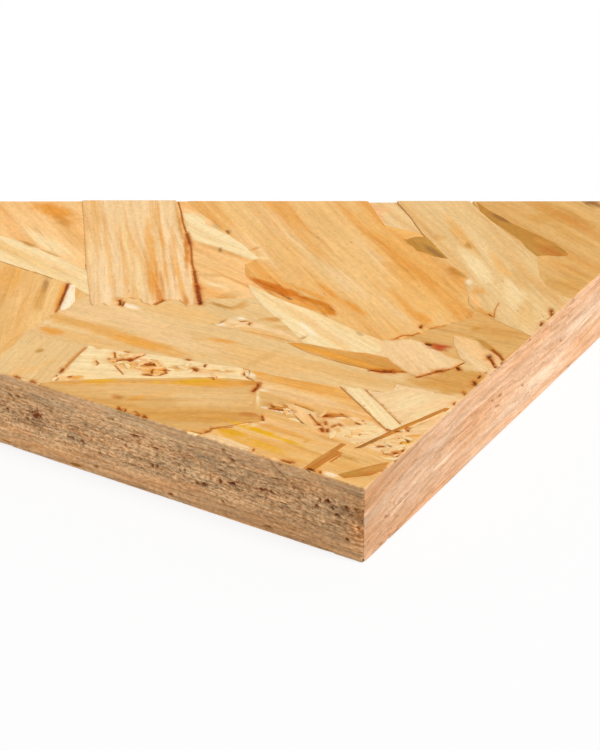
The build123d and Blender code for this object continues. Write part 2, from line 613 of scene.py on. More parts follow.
STAINS = [
    ("long_beige", [
        (-80, 26.6, 1, 19, 2.3, HONEY, 0.95), (-70, 26.3, 2, 8, 2.0, AMBER, 0.7),
        (-84, 21.6, 4, 13, 2.0, STRAW, 0.7), (-90.5, 20.6, 4, 3.5, 1.2, AMBER, 0.8),
        (-80, 33.5, 4, 14, 3.0, PALE, 0.8), (-72.5, 42.2, 3, 12, 3.2, STRAW, 0.85, "behind_plank"),
        (-64.8, 49.2, 3, 3.6, 0.7, OLIVE, 0.9, "behind_plank"),
        (-61.3, 51.4, 80, 2.6, 1.1, OCHRE, 0.8, "behind_plank"), (-56, 36, 14, 3.6, 0.8, AMBER, 0.8),
        (-60.8, 33.8, 10, 2.2, 0.7, TAN, 0.7), (-45, 33.5, 4, 12, 4.0, STRAW, 0.6),
        (-30, 36.5, 4, 14, 3.0, STRAW, 0.7), (-44.6, 34, 76, 6.5, 1.1, TAN, 0.6),
        (-5, 46.5, 15, 9, 5.0, OCHRE, 0.85), (-8, 43, 5, 6, 1.8, OCHRE, 0.6),
        (-50, 43.2, 3, 8, 1.2, HONEY, 0.7, "cream_chips"),
        (-47.5, 48, 30, 4, 1.2, TAN, 0.7, "cream_chips"),
        (-52, 49.6, 30, 2.4, 1.0, OCHRE, 0.9, "cream_wedge"),
        (-58.5, 46.4, 8, 1.6, 0.6, IVORY_AND_HIGHLIGHT, 0.9, "cream_chips"),
        (-60.2, 41.8, 50, 1.0, 0.6, IVORY_AND_HIGHLIGHT, 0.9, "cream_chips"), (-82, 38.6, 2, 3.2, 0.7, IVORY_AND_HIGHLIGHT, 0.85)]),
    ("lens", [
        (-33, 42.6, 0, 12, 1.0, AMBER, 0.9), (-28, 46.2, 8, 8, 0.9, HONEY, 0.8),
        (-36, 41.1, 0, 6, 0.6, HONEY, 0.8)]),
    ("cream_wedge", [
        (-41.8, 45.8, 82, 1.6, 0.5, OLIVE, 0.8, "cream_chips"), (-32.5, 54, -30, 1.4, 0.6, DRIFT, 0.8),
        (-46, 54, -22, 9, 0.8, PEACH, 0.7), (-36, 49.6, -28, 7, 0.9, PALE, 0.7),
        (-43, 50, -30, 4, 0.8, IVORY_AND_HIGHLIGHT, 0.8)]),
    ("cream_chips", [
        (-60.8, 43.4, 85, 1.4, 0.4, UMBER, 0.7, "long_beige")]),
    ("wide_orange", [
        (-43, 91, -34, 9, 2.6, HONEY, 0.9), (-50, 96, -20, 6, 2.0, AMBER, 0.7),
        (-30, 83, -34, 10, 3.0, HONEY, 0.9), (-20, 76, -50, 5, 2.4, HONEY, 0.9),
        (-16.2, 74, -75, 3, 0.8, OCHRE, 0.8), (-45, 86, -34, 12, 1.5, PALE, 0.6),
        (-58, 78, -34, 14, 1.8, SAND, 0.6), (-48, 74, -34, 10, 1.6, PALE, 0.7),
        (-35, 74, -34, 8, 1.2, PEACH, 0.6), (-30, 66.5, -36, 8, 0.9, PALE, 0.7),
        (-39, 63.4, -26, 5, 1.1, AMBER, 0.8), (-47, 66.6, -28, 6, 0.8, AMBER, 0.7),
        (-24, 67.2, -30, 3.4, 1.5, AMBER, 0.9), (-30, 70.5, -38, 7, 1.0, AMBER, 0.7),
        (-38, 84, -34, 5, 1.4, AMBER, 0.6), (-76, 90, -30, 12, 3.0, PALE, 0.6),
        (-66, 96, -34, 10, 2.4, TAN, 0.6), (-74, 77, -30, 10, 2.0, PALE, 0.6),
        (-30, 80, -38, 15, 7.5, HONEY, 0.75), (-40, 88, -36, 13, 5.0, AMBER, 0.35),
        (-52, 100, -34, 14, 6.0, HONEY, 0.7), (-28, 90, -30, 3, 1.1, OLIVE, 0.85),
        (-33.5, 93, -20, 3.6, 1.0, SAND, 0.8, "pale_upper"),
        (-59, 62.6, -8, 7, 1.6, RESIN, 0.95, "behind_plank"), (-48.5, 61.4, -6, 6, 1.2, RESIN, 0.95),
        (-43.2, 59.2, -35, 2.4, 1.3, RESIN, 0.95), (-48, 61.6, -3, 4.5, 0.5, RESIN, 0.9),
        (-63, 63.6, -5, 3.4, 0.6, RESIN, 0.85, "behind_plank"), (-56.5, 61, -20, 2.2, 0.8, RESIN, 0.9),
        (-56, 60.4, -16, 3.4, 0.35, CRACK_RESIN_AND_SHADE, 0.6), (-51, 61.9, -4, 2.6, 0.3, CRACK_RESIN_AND_SHADE, 0.5),
        (-61, 62.6, -10, 3.0, 0.35, CRACK_RESIN_AND_SHADE, 0.45, "behind_plank"),
        (-43.4, 60.6, -30, 1.4, 0.3, CRACK_RESIN_AND_SHADE, 0.5), (-47, 59.2, -12, 4.0, 0.8, AMBER, 0.8),
        (-50, 64.2, -12, 7, 0.8, AMBER, 0.7), (-54, 59.9, -20, 1.2, 0.5, UMBER, 0.9)]),
    ("tall_plank", [
        (-93, 68, -53, 22.4, 0.45, AMBER, 0.68), (-87.5, 57, -53, 12.6, 0.45, AMBER, 0.68),
        (-83, 57.5, -53, 14, 0.4, RESIN, 0.45), (-80.5, 49.5, -52, 7, 0.4, RESIN, 0.6),
        (-97, 58, -53, 16.8, 0.5, AMBER, 0.52), (-103, 67, -52, 14, 0.7, CREAM, 0.9),
        (-90, 54, -52, 9, 0.6, CREAM, 0.9), (-112.6, 69, -52, 16.8, 0.9, HONEY, 0.6),
        (-99, 55, -52, 16.8, 0.7, HONEY, 0.6), (-105, 56, -55, 9, 0.7, CREAM, 0.85),
        (-101, 76, -54, 14, 0.9, HONEY, 0.52), (-91, 60, -54, 19.6, 1.0, AMBER, 0.64),
        (-83.6, 50, -52, 8.4, 0.8, AMBER, 0.68), (-79.4, 46, -52, 4.9, 0.7, RESIN, 0.68),
        (-88, 49, -50, 9, 0.8, CREAM, 0.8), (-88.4, 66, -54, 11.2, 0.6, AMBER, 0.52),
        (-80, 56.4, -52, 12, 0.6, PALE, 0.8), (-77.4, 52, -52, 11.2, 0.7, AMBER, 0.68),
        (-73, 47.2, -50, 3.4, 0.6, RESIN, 0.71)]),
    ("behind_plank", [
        (-80, 64, -12, 8, 2.6, STRAW, 0.6), (-79, 71.6, -6, 8, 0.9, OCHRE, 0.6, "cream_patch"),
        (-75, 60, 20, 3, 0.8, TAN, 0.7), (-71, 57, 10, 3, 0.7, CREAM, 0.7),
        (-66, 54, 70, 3, 1.6, TAN, 0.7), (-78, 48, -12, 6, 1.8, STRAW, 0.6),
        (-87, 82, -40, 2.4, 1.2, DRIFT, 0.8, "cream_patch")]),
    ("cream_patch", [
        (-83, 80.2, -50, 1.2, 0.5, UMBER, 0.9, "wide_orange"),
        (-79.8, 72, -60, 1.4, 0.5, UMBER, 0.9, "behind_plank"),
        (-73, 76.4, 70, 1.4, 0.5, OCHRE, 0.8, "wide_orange"),
        (-70, 73, 10, 3, 0.8, CREAM, 0.8, "wide_orange")]),
    ("pale_upper", [
        (-36, 107, -44, 9, 1.6, HONEY, 0.8), (-32, 103, -45, 1.6, 0.7, OLIVE, 0.8),
        (-39.5, 103.4, -10, 1.7, 1.2, TAN, 0.8), (-17.4, 79.5, -52, 4.5, 0.9, PEACH, 0.9),
        (-19.6, 84.6, -40, 2.0, 1.5, HONEY, 0.9), (-23.4, 87.4, -40, 1.6, 0.8, IVORY_AND_HIGHLIGHT, 0.9),
        (-13.6, 76.4, -12, 3.4, 1.1, HONEY, 0.85), (-4, 96, -30, 6, 3.0, STRAW, 0.7),
        (-12, 87, -50, 7, 2.2, CREAM, 0.7), (-7, 84, -60, 4, 1.6, TAN, 0.5),
        (-24, 94, -45, 8, 2.0, CREAM, 0.8), (-5, 79, -60, 5, 2.0, STRAW, 0.6),
        (-14, 94, -45, 5, 1.6, TAN, 0.7), (-21, 98, -45, 7, 1.3, HONEY, 0.7),
        (-28, 97, -40, 6, 1.4, CREAM, 0.7)]),
    ("olive_far", [
        (-32, 119.3, -20, 3.5, 0.8, UMBER, 0.9), (-14.5, 110, -20, 4, 1.6, BROWN, 0.85),
        (-18, 113.5, -20, 3, 1.2, OCHRE, 0.7)]),
    ("olive_near", [
        (-36.5, 95.8, -30, 5, 0.9, UMBER, 0.85)]),
    ("top_right_tan", [
        (-17.5, 138, -30, 3, 1.6, UMBER, 0.9), (-24, 124, 0, 3, 2.5, OCHRE, 0.6),
        (-18, 127, -10, 8, 3, OCHRE, 0.6), (-11, 105, -30, 6, 2.4, STRAW, 0.7),
        (-4, 97, -10, 5, 3.0, OCHRE, 0.7), (-22, 130, -20, 9, 3.0, OCHRE, 0.6),
        (-6, 103, -30, 7, 3.0, OCHRE, 0.45), (-14, 120, -24, 8, 2.0, OCHRE, 0.5)]),
    ("tan_band", [
        (-6.4, 63.4, -28, 4.4, 1.0, OLIVE, 0.9, "chip_edge"), (-12, 69, 0, 0.8, 0.8, OLIVE, 0.8),
        (-7, 69.5, 0, 7, 3, OCHRE, 0.5), (-14, 65.2, 4, 5, 0.5, OCHRE, 0.7),
        (-14.9, 57.9, 12, 2.3, 1.5, RUST, 0.95, "pale_square"),
        (-17.6, 57.7, 0, 0.9, 0.7, UMBER, 1.0, "pale_square"),
        (-4, 51, 20, 4, 1.4, OCHRE, 0.8, "long_beige", "chip_edge")]),
    ("khaki", [
        (-59, 12.6, 31, 21, 1.5, AMBER, 0.7), (-50.5, 18.6, 33, 6, 1.3, GOLD, 0.9),
        (-68.5, 8.2, 35, 4, 1.0, GOLD, 0.7), (-54.2, 11, 52, 3.4, 1.3, HONEY, 0.9),
        (-58.3, 13.4, 30, 1.2, 0.8, GOLD, 0.8), (-62, 4.2, 10, 1.5, 0.9, BROWN, 0.9),
        (-67, 5.4, 20, 6, 1.4, HONEY, 0.7), (-58, 6.2, 60, 2.4, 0.9, AMBER, 0.7),
        (-74, 6.2, 40, 1.8, 1.0, AMBER, 0.9, "cream_splinter"), (-47, 13, 30, 6, 3.0, STRAW, 0.6),
        (-43, 7.2, 26, 14, 2.4, OCHRE, 0.85), (-39, 7.6, 40, 6, 1.6, OCHRE, 0.8),
        (-34.2, 12.4, 25, 3, 1.0, BROWN, 0.9), (-49, 2.6, 24, 6, 1.4, OCHRE, 0.7),
        (-41.2, 23.6, 30, 2.4, 1.0, BROWN, 0.85), (-29.5, 8.0, -3, 7, 0.8, GOLD, 1.0, "yellow")]),
    ("yellow", [
        (-22, 7.5, -2, 4.6, 0.6, GOLD, 0.95), (-33.5, 4.6, 4, 4.4, 1.2, GOLD, 0.9),
        (-26, 4.2, -2, 6, 0.7, GOLD, 0.85), (-20, 5.4, -1, 9, 1.2, HONEY, 0.8),
        (-24, 10.4, -2, 10, 0.8, TAN, 0.7), (-27, 14.0, -2, 6, 0.8, TAN, 0.7),
        (-31, 10.4, 60, 2.4, 0.7, CREAM, 0.8), (-30, 12.4, -4, 5, 0.7, PEACH, 0.8),
        (-19, 9.6, 80, 1.4, 0.6, OCHRE, 0.7), (-6, 4, 8, 6, 2.4, TAN, 0.6), (-7, 9, 2, 6, 1.6, TAN, 0.7),
        (-8.4, 8, 5, 2.6, 0.7, OCHRE, 0.8), (-8.5, 1, 0, 1.8, 0.7, IVORY_AND_HIGHLIGHT, 0.9),
        (-15.6, 12.4, 0, 3, 0.8, OCHRE, 0.6)]),
    ("orange_straw", [
        (-25.6, 30.2, 40, 1.4, 1.0, OCHRE, 0.9), (-31, 29.0, 7, 11, 2.2, HONEY, 0.85),
        (-19, 27.6, -10, 5, 1.8, HONEY, 0.6), (-31, 23.6, 2, 9, 1.5, PALE, 0.7),
        (-27, 20.8, -2, 6, 0.7, OCHRE, 0.9, "crumbly"), (-20.5, 23.4, 2, 6, 1.0, TAN, 0.7),
        (-18.6, 21.8, 15, 2.4, 0.6, BROWN, 0.9, "crumbly"), (-37.2, 23, 60, 1.6, 0.8, IVORY_AND_HIGHLIGHT, 0.95),
        (-43, 26.6, -50, 1.5, 0.8, IVORY_AND_HIGHLIGHT, 0.95, "cream_splinter"), (-42, 28.0, 10, 2.4, 0.7, AMBER, 0.8),
        (-30, 28.6, 6, 11, 2.0, AMBER, 0.5), (-28, 24.2, 1, 12, 1.8, PALE, 0.8)]),
    ("cream_splinter", [
        (-66, 17.2, 12, 6.5, 2.0, HONEY, 0.9), (-61.2, 17.8, 50, 2.6, 1.6, AMBER, 0.9),
        (-66.8, 20.2, 60, 1.2, 0.7, IVORY_AND_HIGHLIGHT, 0.95), (-69.4, 18.0, 40, 2.4, 1.1, BROWN, 0.85),
        (-64.4, 18.8, 18, 2.6, 1.0, BROWN, 0.8), (-57.6, 21.2, 40, 2.2, 1.3, OCHRE, 0.9),
        (-54.6, 22.4, 20, 1.6, 1.2, OLIVE, 0.8), (-49.6, 24.4, 28, 4, 0.7, OCHRE, 0.8),
        (-51.6, 22.2, 28, 5, 0.9, PALE, 0.8), (-77.4, 19.6, 0, 1.4, 0.7, AMBER, 0.9),
        (-72.6, 18.4, -40, 2.6, 1.2, STRAW, 0.8), (-74.6, 14, -60, 2.4, 0.6, STRAW, 0.7),
        (-61.6, 15.4, 20, 2.0, 0.6, OCHRE, 0.9)]),
    ("beige_low", [
        (-94.5, 12, 95, 6, 0.8, HONEY, 0.8, "left_tan"), (-93.6, 22, 80, 3, 0.8, PALE, 0.7, "long_beige"),
        (-87.2, 12.2, 80, 1.2, 0.7, OLIVE, 0.8), (-83, 9, 60, 2.4, 0.9, STRAW, 0.7),
        (-84.5, 4, 60, 4, 1.4, STRAW, 0.7)]),
    ("left_tan", [
        (-109.6, 33, -62, 8, 1.4, AMBER, 0.85), (-97.6, 34, -62, 7, 0.9, AMBER, 0.85),
        (-104, 37, -62, 4, 0.7, UMBER, 0.7), (-101, 31, -62, 6, 1.2, OCHRE, 0.7),
        (-106, 28, -62, 9, 2.0, PEACH, 0.7), (-112, 34, -62, 9, 3.0, HONEY, 0.7),
        (-104, 20, -62, 12, 3.0, TAN, 0.7)]),
    ("left_cream", [
        (-118.8, 51.4, -10, 2.8, 0.7, OLIVE, 0.9, "left_orange"),
        (-112, 50.4, -8, 4.4, 0.5, OCHRE, 0.8, "left_orange"), (-107, 46, -14, 10, 1.0, PEACH, 0.6)]),
    ("left_orange", [
        (-124, 68.5, -12, 7, 2.8, AMBER, 0.9), (-119, 65, -40, 4, 1.4, OCHRE, 0.8),
        (-113, 60, -30, 6, 2.0, STRAW, 0.7), (-116, 54.4, -20, 8, 2.2, CREAM, 0.8)]),
    ("splinter", [
        (-8.8, 13.0, 60, 1.4, 0.5, UMBER, 0.9), (-7.4, 16.6, 66, 3.4, 0.5, UMBER, 0.8),
        (-3.4, 26.4, 68, 6, 0.4, AMBER, 0.8)]),
    ("corner_wedge", [
        (-5.0, 3.4, 50, 2.4, 1.2, OLIVE, 0.9), (-1.6, 7.4, 50, 2.4, 1.0, OCHRE, 0.8)]),
    ("brown_strip", [
        (-13.2, 6.4, 84, 5, 0.5, OCHRE, 0.7)]),
    ("crumbly", [
        (-2.2, 19.6, 30, 2.4, 1.1, GOLD, 0.95, "pale_triangle"),
        (-1.2, 22.4, 40, 1.6, 0.8, AMBER, 0.9, "pale_triangle"),
        (-1.4, 14.8, 50, 2.0, 0.9, BROWN, 0.9, "yellow"),
        (-22, 15.4, -30, 4, 0.8, STRAW, 0.7, "yellow", "pale_sliver"),
        (-21, 18.4, -36, 2.6, 1.0, TAN, 0.7)]),
    ("ochre_notch", [
        (-31.4, 18.6, 10, 2.8, 0.9, BROWN, 0.9, "khaki_tri")]),
    ("khaki_tri", [
        (-29.8, 17.2, 8, 4, 0.5, IVORY_AND_HIGHLIGHT, 0.95, "crumbly", "yellow"),
        (-36.6, 19, -58, 4, 0.4, CREAM, 0.8, "khaki")]),
    ("tall_plank", [
        (-84.4, 65.0, -56, 9, 0.6, RESIN, 0.9, "behind_plank"),
        (-96, 79.4, -52, 9, 0.5, OCHRE, 0.85, "behind_plank")]),
    ("yellow", [
        (-24, 10.3, -2, 11, 1.0, AMBER, 0.5), (-8, 5.5, 4, 6, 2.0, HONEY, 0.8),
        (-25, 2.8, -1, 9, 0.8, GOLD, 0.6), (-23, 12.2, -2, 9, 0.7, PALE, 0.8),
        (-17, 6.6, -4, 5, 0.5, OCHRE, 0.7)]),
    ("khaki", [
        (-44, 15, 30, 9, 3.5, SAND, 0.7), (-61, 9, 31, 12, 2.5, SAND, 0.6),
        (-46, 20.6, 31, 8, 1.3, AMBER, 0.6), (-57, 2.4, 8, 12, 0.9, OCHRE, 0.6)]),
    ("crumbly", [
        (-10, 20, 20, 5, 3.2, CREAM, 0.9), (-13, 16.6, 10, 3, 1.0, CREAM, 0.9),
        (-16, 20.4, -20, 2.4, 0.9, HONEY, 0.7)]),
    ("pale_triangle", [
        (-9, 34, 60, 5, 2.4, CREAM, 0.7), (-4, 31, 62, 4, 1.2, CREAM, 0.8)]),
    ("long_beige", [
        (-88, 30, 4, 7, 2.0, PALE, 0.7), (-66, 31, 5, 12, 2.4, PALE, 0.6),
        (-24, 38, 4, 12, 2.2, TAN, 0.5)]),
]

# Cracks: a width, a colour and a line of places. They mark every strand that they meet. Their dark colour
# is partly resin and partly painted shade.

CRACKS = [
    Crack(0.35, SOFT_CRACK_RESIN_AND_SHADE, (-101.8, 88), (-98.1, 83.7), (-95.0, 79.6), (-90.7, 74.8)),
    Crack(0.9, BROWN_CRACK_RESIN_AND_SHADE, (-90.7, 74.8), (-88.2, 72), (-87.0, 70.6)),
    Crack(0.5, SOFT_CRACK_RESIN_AND_SHADE, (-87.0, 70.6), (-85.6, 68.8), (-81.6, 63), (-79.0, 60)),
    Crack(0.8, BROWN_CRACK_RESIN_AND_SHADE, (-79.0, 60), (-76.6, 56.8), (-74.6, 54.4)),
    Crack(1.25, CRACK_RESIN_AND_SHADE, (-74.8, 54.6), (-72.0, 51.0), (-69.4, 47.6)),
    Crack(0.8, CRACK_RESIN_AND_SHADE, (-100.0, 40.3), (-97.8, 35.8), (-95.6, 30.8)),
    Crack(0.5, SOFT_CRACK_RESIN_AND_SHADE, (-95.6, 30.8), (-94.6, 28.2)),
    Crack(0.9, BROWN_CRACK_RESIN_AND_SHADE, (-85.7, 39.9), (-85.0, 39.3), (-84.4, 38.3)),
    Crack(0.5, SOFT_CRACK_RESIN_AND_SHADE, (-84.4, 39.8), (-83.6, 38.0)),
    Crack(0.6, SOFT_CRACK_RESIN_AND_SHADE, (-77.2, 45), (-77.8, 42.4)), Crack(1.3, CRACK_RESIN_AND_SHADE, (-20.7, 42.1), (-18.0, 43.5)),
    Crack(0.6, CRACK_RESIN_AND_SHADE, (-22.4, 41.5), (-20.7, 42.1)), Crack(0.4, SOFT_CRACK_RESIN_AND_SHADE, (-18.0, 43.5), (-16, 44.6)),
    Crack(0.6, BROWN_CRACK_RESIN_AND_SHADE, (-12.5, 44.2), (-11, 46.8), (-10, 48.6)),
    Crack(1.0, CRACK_RESIN_AND_SHADE, (-10.4, 48.2), (-9.2, 49.4)),
    Crack(0.4, SOFT_CRACK_RESIN_AND_SHADE, (-9.2, 49.4), (-8, 51), (-7.6, 52.6), (-7.1, 54.6)),
    Crack(1.0, CRACK_RESIN_AND_SHADE, (-7.2, 52), (-6.6, 51.4)), Crack(1.1, DARK_CRACK_RESIN_AND_SHADE, (-17.8, 57.7), (-17.0, 57.8)),
    Crack(1.2, DARK_CRACK_RESIN_AND_SHADE, (-3.7, 59.6), (-3, 58.8)),
    Crack(0.6, CRACK_RESIN_AND_SHADE, (-3, 58.8), (-1.8, 57.6), (-0.4, 56.2)),
    Crack(0.8, BROWN_CRACK_RESIN_AND_SHADE, (-4.6, 62.8), (-2.2, 61.4), (-0.4, 59.8)),
    Crack(0.4, FAINT_CRACK_RESIN_AND_SHADE, (-18.4, 66.8), (-19.6, 65.4), (-20.4, 64)),
    Crack(0.7, BROWN_CRACK_RESIN_AND_SHADE, (-22.8, 64.2), (-22.5, 63.4)),
    Crack(0.4, SOFT_CRACK_RESIN_AND_SHADE, (-21.6, 61), (-22.4, 59.4), (-24, 58.2), (-25, 55.4)),
    Crack(0.25, FAINT_CRACK_RESIN_AND_SHADE, (-19.5, 33.6), (-13.5, 30), (-6.2, 25.3), depth=0.12),
    Crack(0.25, FAINT_CRACK_RESIN_AND_SHADE, (-24.3, 32), (-15, 26.4), (-6.8, 21.4), depth=0.12),
    Crack(0.7, CRACK_RESIN_AND_SHADE, (-44.8, 27.8), (-44.3, 26.0)), Crack(0.4, SOFT_CRACK_RESIN_AND_SHADE, (-43.6, 25.6), (-42.2, 24.9)),
    Crack(0.9, CRACK_RESIN_AND_SHADE, (-39.8, 24.6), (-39.2, 23), (-39.1, 21.2)),
    Crack(1.3, CRACK_RESIN_AND_SHADE, (-21.4, 20.3), (-20, 20.8)),
    Crack(0.5, SOFT_CRACK_RESIN_AND_SHADE, (-20, 20.8), (-18.6, 21.5), (-17, 22)),
    Crack(0.4, SOFT_CRACK_RESIN_AND_SHADE, (-24.2, 19.2), (-22, 17.6), (-20, 16.3)),
    Crack(0.9, CRACK_RESIN_AND_SHADE, (-20.6, 16.8), (-19.6, 15.8), (-18.4, 14.9)),
    Crack(0.6, SOFT_CRACK_RESIN_AND_SHADE, (-17.7, 17.2), (-17.3, 18.1)),
    Crack(0.6, SOFT_CRACK_RESIN_AND_SHADE, (-16.9, 18.8), (-16.2, 18.6)),
    Crack(0.6, SOFT_CRACK_RESIN_AND_SHADE, (-19.8, 18.2), (-19.2, 17.4)),
    Crack(0.6, BROWN_CRACK_RESIN_AND_SHADE, (-32.4, 17.0), (-30.5, 17.6), (-27.8, 18.3)),
    Crack(0.6, BROWN_CRACK_RESIN_AND_SHADE, (-32.2, 13.5), (-31.1, 12.1)),
    Crack(0.4, BROWN_CRACK_RESIN_AND_SHADE, (-38.1, 3.9), (-36.6, 5.4), (-35.2, 6.4)),
    Crack(0.7, BROWN_CRACK_RESIN_AND_SHADE, (-38.7, 1.8), (-38.2, 2.6)),
    Crack(0.7, BROWN_CRACK_RESIN_AND_SHADE, (-67.4, 22.3), (-67.8, 20.8), (-68.4, 19.2)),
    Crack(1.4, CRACK_RESIN_AND_SHADE, (-68.5, 19), (-69, 17.9), (-70, 17.4)),
    Crack(0.6, BROWN_CRACK_RESIN_AND_SHADE, (-72.6, 16.9), (-71.2, 16.6), (-70, 17.2)),
    Crack(1.3, CRACK_RESIN_AND_SHADE, (-65.2, 19.0), (-63.8, 19.5), (-62.6, 20)),
    Crack(0.4, SOFT_CRACK_RESIN_AND_SHADE, (-73.2, 19.8), (-71.8, 18.0)),
    Crack(0.35, FAINT_CRACK_RESIN_AND_SHADE, (-74.6, 14.8), (-73.6, 14.2), (-73.4, 13.4)),
    Crack(0.6, BROWN_CRACK_RESIN_AND_SHADE, (-62.5, 15.1), (-61, 15.8)),
    Crack(0.5, SOFT_CRACK_RESIN_AND_SHADE, (-60, 19.2), (-58.8, 18), (-59.6, 16.8)),
    Crack(0.3, FAINT_CRACK_RESIN_AND_SHADE, (-70, 15.2), (-68, 14), (-66.4, 13), depth=0.15),
    Crack(0.9, BROWN_CRACK_RESIN_AND_SHADE, (-54.8, 22.7), (-54, 22.4)),
    Crack(0.5, FAINT_CRACK_RESIN_AND_SHADE, (-79.8, 18.4), (-79.3, 13), (-78.6, 9.4)),
    Crack(0.8, BROWN_CRACK_RESIN_AND_SHADE, (-78.6, 8.4), (-78.2, 7.2)), Crack(0.5, SOFT_CRACK_RESIN_AND_SHADE, (-78, 5.4), (-77.4, 3.6)),
    Crack(0.4, SOFT_CRACK_RESIN_AND_SHADE, (-12.6, 76.4), (-11.4, 75.8)),
    Crack(0.22, FAINT_CRACK_RESIN_AND_SHADE, (-13.1, 82), (-12.2, 78.4), (-10.8, 75.4), depth=0.1),
    Crack(0.8, BROWN_CRACK_RESIN_AND_SHADE, (-1.6, 85), (-0.4, 83)), Crack(0.6, BROWN_CRACK_RESIN_AND_SHADE, (-0.9, 79), (-0.4, 77.6)),
    Crack(1.2, BROWN_CRACK_RESIN_AND_SHADE, (-1.4, 48.6), (-0.4, 47.4)),
    Crack(0.8, SOFT_CRACK_RESIN_AND_SHADE, (-1.4, 43.6), (-0.4, 42.8)),
    Crack(0.6, SOFT_CRACK_RESIN_AND_SHADE, (-0.8, 38.6), (-0.4, 37.8)), Crack(1.0, CRACK_RESIN_AND_SHADE, (-19.2, 0.6), (-17.4, 1.0)),
    Crack(1.1, DARK_CRACK_RESIN_AND_SHADE, (-13.2, 0.6), (-12.2, 0.4)),
    Crack(0.4, BROWN_CRACK_RESIN_AND_SHADE, (-26.6, 1.5), (-26.4, 0.2)),
    Crack(0.6, BROWN_CRACK_RESIN_AND_SHADE, (-10.9, 1), (-10.6, 0.6)),
    Crack(0.3, SOFT_CRACK_RESIN_AND_SHADE, (-10.9, 5.4), (-10.5, 8.4), depth=0.15),
    Crack(0.8, CRACK_RESIN_AND_SHADE, (-59.4, 1.0), (-58.6, 0.3)), Crack(0.6, CRACK_RESIN_AND_SHADE, (-57.8, 1), (-57.2, 0.4)),
    Crack(0.7, SOFT_CRACK_RESIN_AND_SHADE, (-55.4, 1.2), (-54, 0.5)), Crack(0.8, CRACK_RESIN_AND_SHADE, (-52.8, 0.8), (-52, 0.3)),
    Crack(0.8, BROWN_CRACK_RESIN_AND_SHADE, (-85.2, 0.6), (-84.2, 0.3)),
    Crack(0.8, SOFT_CRACK_RESIN_AND_SHADE, (-81.2, 0.8), (-80.2, 0.4)), Crack(0.8, BROWN_CRACK_RESIN_AND_SHADE, (-3.5, 14.2), (-3, 13.8)),
    Crack(0.9, BROWN_CRACK_RESIN_AND_SHADE, (-1.7, 15), (-0.9, 14.2), (-0.3, 13.2)),
    Crack(0.7, BROWN_CRACK_RESIN_AND_SHADE, (-1.6, 17.8), (-0.6, 16.4)),
    Crack(0.6, BROWN_CRACK_RESIN_AND_SHADE, (-4.2, 24.8), (-3.6, 23.8)),
]

CORNER_MARKS = [Stain(*row[:7], (strand, *row[7:])) for strand, rows in STAINS for row in rows] + CRACKS

# The part of the face that the photograph shows, a little widened, from the corner
SEEN = np.array([(3, -3), (-93, -3), (-146, 68), (-18, 147), (3, 112)], float)
# No random strand lies on top within this share of it
SHOWN_SHARE = 0.97
# How far below the top the lowest and the highest of the listed strands lie
CORNER_DROP = (0.24, 0.0)
STRAND_SEED, PLATE_SEED = 900, 40
CORNER_ENDS = {"end_step": 0.9, "side_step": 0.9, "end_depth": 0.45, "wave": 0.14}


def place_marks():
    """Moves the marks from the corner's axes to the panel's."""
    for mark in CORNER_MARKS:
        if isinstance(mark, Stain):
            mark.place = mark.place + CORNER
        else:
            mark.line = mark.line + CORNER


def corner_strands(heap, plates):
    """The listed strands, on the panel's own axes."""
    tops = TOP - np.linspace(*CORNER_DROP, len(CORNER_STRANDS))
    for index, (name, turn, figure, colour, outline) in enumerate(CORNER_STRANDS):
        rng = np.random.default_rng(STRAND_SEED + index)
        angle = math.radians(turn)
        placed = clip(splinter(np.array(outline, float) + CORNER, angle, rng, **CORNER_ENDS))
        fine_plate(heap, name, placed, angle, tops[index], colour, figure, PLATE_SEED + index,
                   SEEN + CORNER)
        plates.append((placed, tops[index], colour, name))


# Places where the face has broken up: middle, half sizes, chips and small pits
CRUMB_ZONES = [
    (-12, 18.4, 10, 4.2, 30, 9), (-2.6, 17.5, 2.2, 5.5, 10, 4), (-65, 18.6, 7, 3.0, 24, 7),
    (-53, 23.4, 5, 2.2, 12, 5), (-57, 44.4, 3, 1.6, 3, 2), (-29.5, 17.8, 3.2, 1.4, 5, 3),
    (-76.5, 7.5, 1.2, 4.0, 6, 2), (-1.6, 47.0, 1.2, 9.0, 0, 3),
]
CHIP_COLUMN, PIT_COLUMN = 4, 5
CRUMB_TONES = [CREAM, CREAM, PALE, PEACH, STRAW]
CRUMB_PIT_REACH, CRUMB_PIT_WIDTH = (0.2, 0.6), (0.35, 0.7)
CHIP_SPOKES, CHIP_SHAPE = 6, np.array([1.5, 0.6])
CHIP_SIZE, CHIP_RAGGED, CHIP_DROP, CHIP_FIGURE = (0.5, 1.4), (0.55, 1), (0.0, 0.13), 0.4
CHIP_UNEVEN, CHIP_TURN = 0.4, (0.4, 0.7)
ZONE_SEED, CHIP_SEEDS = 70, 900


def zone_places(column):
    """Random places in the crumb zones, as many in each as a column of the list says."""
    rng = np.random.default_rng(ZONE_SEED + column)
    for zone in CRUMB_ZONES:
        for _ in range(zone[column]):
            yield rng, np.array(zone[:2]) + rng.uniform(-1, 1, 2) * zone[2:4]


# Small pits are short grooves in a crack colour, darkened with resin and painted shade
def add_crumb_pits():
    for rng, place in zone_places(PIT_COLUMN):
        turn, reach = rng.uniform(0, math.pi), rng.uniform(*CRUMB_PIT_REACH)
        run = reach * np.array([math.cos(turn), math.sin(turn)])
        CORNER_MARKS.append(Crack(rng.uniform(*CRUMB_PIT_WIDTH), BROWN_CRACK_RESIN_AND_SHADE, place - run, place + run))


